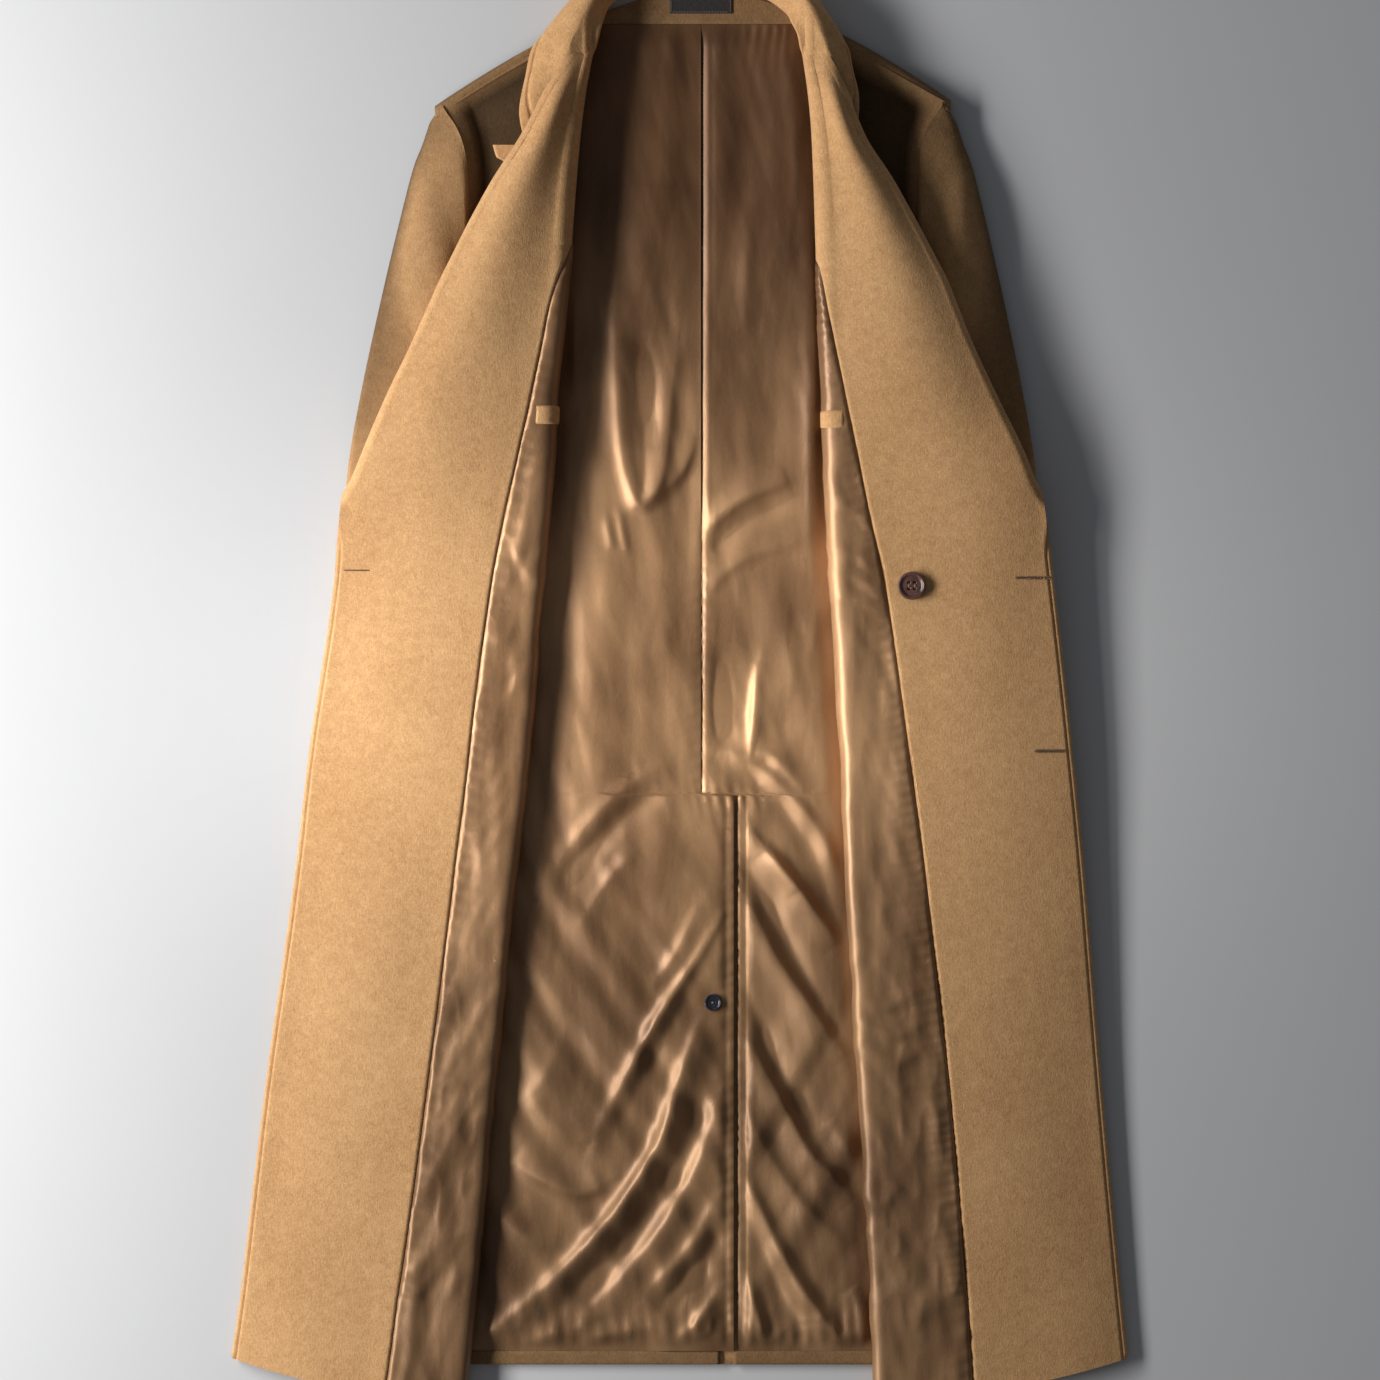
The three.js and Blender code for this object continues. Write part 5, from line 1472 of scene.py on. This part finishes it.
def button_mesh(name, middle, normal, radius, thickness, holes, material):
    """A turned button with a rim, a dish and its holes. Gives its own axes too."""
    a = np.arange(BUTTON_SIDES) * 2 * np.pi / BUTTON_SIDES
    rr, aa = np.meshgrid(np.linspace(0, 1, BUTTON_RINGS) ** 0.85 * radius, a, indexing="ij")
    share = rr / radius
    z = thickness * (0.62 + 0.36 * smooth(0.66, 0.86, share) - 0.5 * smooth(0.93, 1.0, share) ** 2)
    z -= 0.05 * thickness * np.exp(-((share - 0.62) / 0.03) ** 2)
    for hole_x, hole_y in holes:
        away = np.hypot(rr * np.cos(aa) - hole_x, rr * np.sin(aa) - hole_y)
        z -= thickness * 0.6 * smooth(radius * 0.13, radius * 0.075, away)
    top = np.stack([rr * np.cos(aa), rr * np.sin(aa), z], axis=-1)
    skirt = []
    for reach, level in BUTTON_SKIRT:
        flat = np.full(BUTTON_SIDES, level * thickness)
        skirt.append(np.stack([reach * radius * np.cos(a), reach * radius * np.sin(a), flat], axis=1))
    rows = np.concatenate([top, np.array(skirt)])
    normal = np.asarray(normal, float) / np.linalg.norm(normal)
    side = np.cross([0, 1, 0], normal)
    side /= np.linalg.norm(side)
    axes = np.stack([side, np.cross(normal, side), normal])
    points = (rows @ axes + middle).reshape(-1, 3)
    piece = mesh_object(name, points, quads_of(len(rows), BUTTON_SIDES, closed=True), material)
    return faced_outward(piece), axes


class COAT_OT_buttons(Operator):
    """Makes the inside button, the front buttons and the small vent button, each sewn on with thread"""

    bl_idname = "coat.buttons"
    bl_label = "Buttons"
    bl_options = {"REGISTER", "UNDO"}

    def execute(self, context):
        out, y, radius = INSIDE_BUTTON
        middle, normal = Front("right").place(out, y, COVER + FACING + 0.9)
        self.horn_button("button_inside", "inside_button", middle, normal, radius)
        for name, (out, y, radius) in FRONT_BUTTONS.items():
            middle, normal = Front("left").place(out, y, -(WOOL / 2 + 0.9))
            self.horn_button(f"button_front_{name}", f"front_button_{name}", middle, -normal, radius)
        x, y, radius = VENT_BUTTON
        middle = np.array([x, y, 2 * ON_BACK + SATIN + 3.2])
        self.sewn_button("button_vent", "vent_button", middle, np.array([0, 0, 1.0]), radius,
                         VENT_BUTTON_THICKNESS, [(-1.3, 0), (1.3, 0)], "snap enamel", "snap")
        return {"FINISHED"}

    def horn_button(self, name, node, middle, normal, radius):
        holes = [(dx * radius * 0.2, dy * radius * 0.2) for dx in (-1, 1) for dy in (-1, 1)]
        self.sewn_button(name, node, middle, normal, radius, BUTTON_THICKNESS, holes, "dark horn", "button")

    def sewn_button(self, name, node, middle, normal, radius, thickness, holes, material, slot):
        piece, axes = button_mesh(name, middle, normal, radius, thickness, holes, finish(material))
        sewn(piece, [node])
        t = np.linspace(0, 1, 9)
        height = thickness * (0.30 + 0.42 * np.sin(np.pi * t) ** 0.5)
        lines = []
        for a, b in zip(np.array(holes)[::2], np.array(holes)[1::2]):
            for shift in (-0.35, 0.0, 0.35):
                across = np.array([-(b - a)[1], (b - a)[0]]) / np.linalg.norm(b - a) * shift
                flat = mix(a, b, t[:, None]) + across
                line = middle + flat[:, :1] * axes[0] + flat[:, 1:] * axes[1]
                lines.append(line + height[:, None] * axes[2])
        sewn(threads(f"{name}_thread", lines, BUTTON_THREAD), [])


class COAT_OT_buttonholes(Operator):
    """Makes the buttonholes, each a slit with a row of stitches round it"""

    bl_idname = "coat.buttonholes"
    bl_label = "Buttonholes"
    bl_options = {"REGISTER", "UNDO"}

    def execute(self, context):
        base = COVER + FACING
        for k, (side, (out, y), length, openness) in enumerate(BUTTONHOLES):
            front, half = Front(side), length / 2
            lines, slit = [], []
            for step in np.arange(-half, half + 0.01, BUTTONHOLE_STITCH):
                reach = (0.6 + 0.9 * openness) * (1.0 if abs(step) < half - 1 else 0.7)
                for way in (-1, 1):
                    lines.append([front.place(out + step, y + way * reach * t,
                                              base + 0.25 * math.sin(math.pi * t))[0]
                                  for t in np.linspace(0.12, 1, 5)])
            # Painted shade: the slit's gap is a dark sheet laid over the facing.
            for t in np.linspace(-1, 1, 25):
                gape = 0.6 * openness * math.sqrt(max(0.0, 1 - t * t)) + 0.05
                slit.append([front.place(out + t * half, y + gape * way, base + 0.3)[0]
                             for way in (-1, 0, 1)])
            sewn(threads(f"buttonhole_stitches_{k}", lines, BUTTONHOLE_THREAD), [])
            sewn(cloth(f"buttonhole_slit_{k}", np.array(slit), finish("buttonhole slit")), [])
        return {"FINISHED"}


class COAT_OT_stage(Operator):
    """Makes the floor, the lights and the camera"""

    bl_idname = "coat.stage"
    bl_label = "Floor, light and camera"
    bl_options = {"REGISTER", "UNDO"}

    def execute(self, context):
        bpy.ops.mesh.primitive_plane_add(size=FLOOR_SIZE, location=(0, 0, FLOOR_LEVEL))
        floor = bpy.context.object
        floor.name = "floor"
        floor.data.materials.append(finish("studio floor"))
        scene = context.scene
        world = bpy.data.worlds.new("studio")
        world.use_nodes = True
        sky = world.node_tree.nodes["Background"]
        sky.inputs["Color"].default_value = SKY_COLOUR
        sky.inputs["Strength"].default_value = SKY_STRENGTH
        scene.world = world
        scene.view_settings.view_transform = "Standard"
        for name, values in LIGHTS.items():
            self.light(scene, name, *values)
        self.camera(scene)
        return {"FINISHED"}

    def light(self, scene, name, place, target, size, power, spread, tint):
        lamp = bpy.data.lights.new(name, "AREA")
        lamp.shape = "RECTANGLE"
        lamp.size, lamp.size_y = size
        lamp.energy = power
        lamp.spread = math.radians(spread)
        lamp.color = tint
        holder = bpy.data.objects.new(name, lamp)
        holder.location = place
        holder.rotation_euler = (Vector(target) - Vector(place)).to_track_quat("-Z", "Y").to_euler()
        scene.collection.objects.link(holder)

    def camera(self, scene):
        """Straight above the middle of the photo, with the photo's width in view."""
        height = scene.coat_sizes.camera_height
        camera = bpy.data.cameras.new("camera")
        camera.sensor_width = SENSOR
        camera.lens = SENSOR * (height - COAT_LEVEL) / (PHOTO_PIXELS * MM_A_PIXEL / 1000)
        camera.clip_end = 50
        eye = bpy.data.objects.new("camera", camera)
        eye.location = (*metres((0.0, VIEW_LEVEL, 0.0))[:2], height)
        scene.collection.objects.link(eye)
        scene.camera = eye


STEPS = (COAT_OT_backs, COAT_OT_back_linings, COAT_OT_neck, COAT_OT_fronts, COAT_OT_facings,
         COAT_OT_front_linings, COAT_OT_lapels, COAT_OT_collar, COAT_OT_sleeves, COAT_OT_pocket_tabs,
         COAT_OT_buttons, COAT_OT_buttonholes, COAT_OT_stage)


class COAT_PT_panel(Panel):
    """Lists the coat's sizes, colours and steps"""

    bl_idname = "COAT_PT_panel"
    bl_label = "Overcoat"
    bl_space_type = "VIEW_3D"
    bl_region_type = "UI"
    bl_category = "Overcoat"

    def draw(self, context):
        for group in (context.scene.coat_sizes, context.scene.coat_colours):
            for name in group.bl_rna.properties.keys():
                if name not in ("rna_type", "name"):
                    self.layout.prop(group, name)
        for step in STEPS:
            self.layout.operator(step.bl_idname)


CLASSES = (CoatSizes, CoatColours, *STEPS, COAT_PT_panel)


def register():
    for cls in CLASSES:
        bpy.utils.register_class(cls)
    bpy.types.Scene.coat_sizes = PointerProperty(type=CoatSizes)
    bpy.types.Scene.coat_colours = PointerProperty(type=CoatColours)


def unregister():
    del bpy.types.Scene.coat_sizes
    del bpy.types.Scene.coat_colours
    for cls in reversed(CLASSES):
        bpy.utils.unregister_class(cls)


def main():
    register()
    bpy.ops.coat.backs()
    bpy.ops.coat.back_linings()
    bpy.ops.coat.neck()
    bpy.ops.coat.fronts()
    bpy.ops.coat.facings()
    bpy.ops.coat.front_linings()
    bpy.ops.coat.lapels()
    bpy.ops.coat.collar()
    bpy.ops.coat.sleeves()
    bpy.ops.coat.pocket_tabs()
    bpy.ops.coat.buttons()
    bpy.ops.coat.buttonholes()
    bpy.ops.coat.stage()


if __name__ == "__main__":
    main()
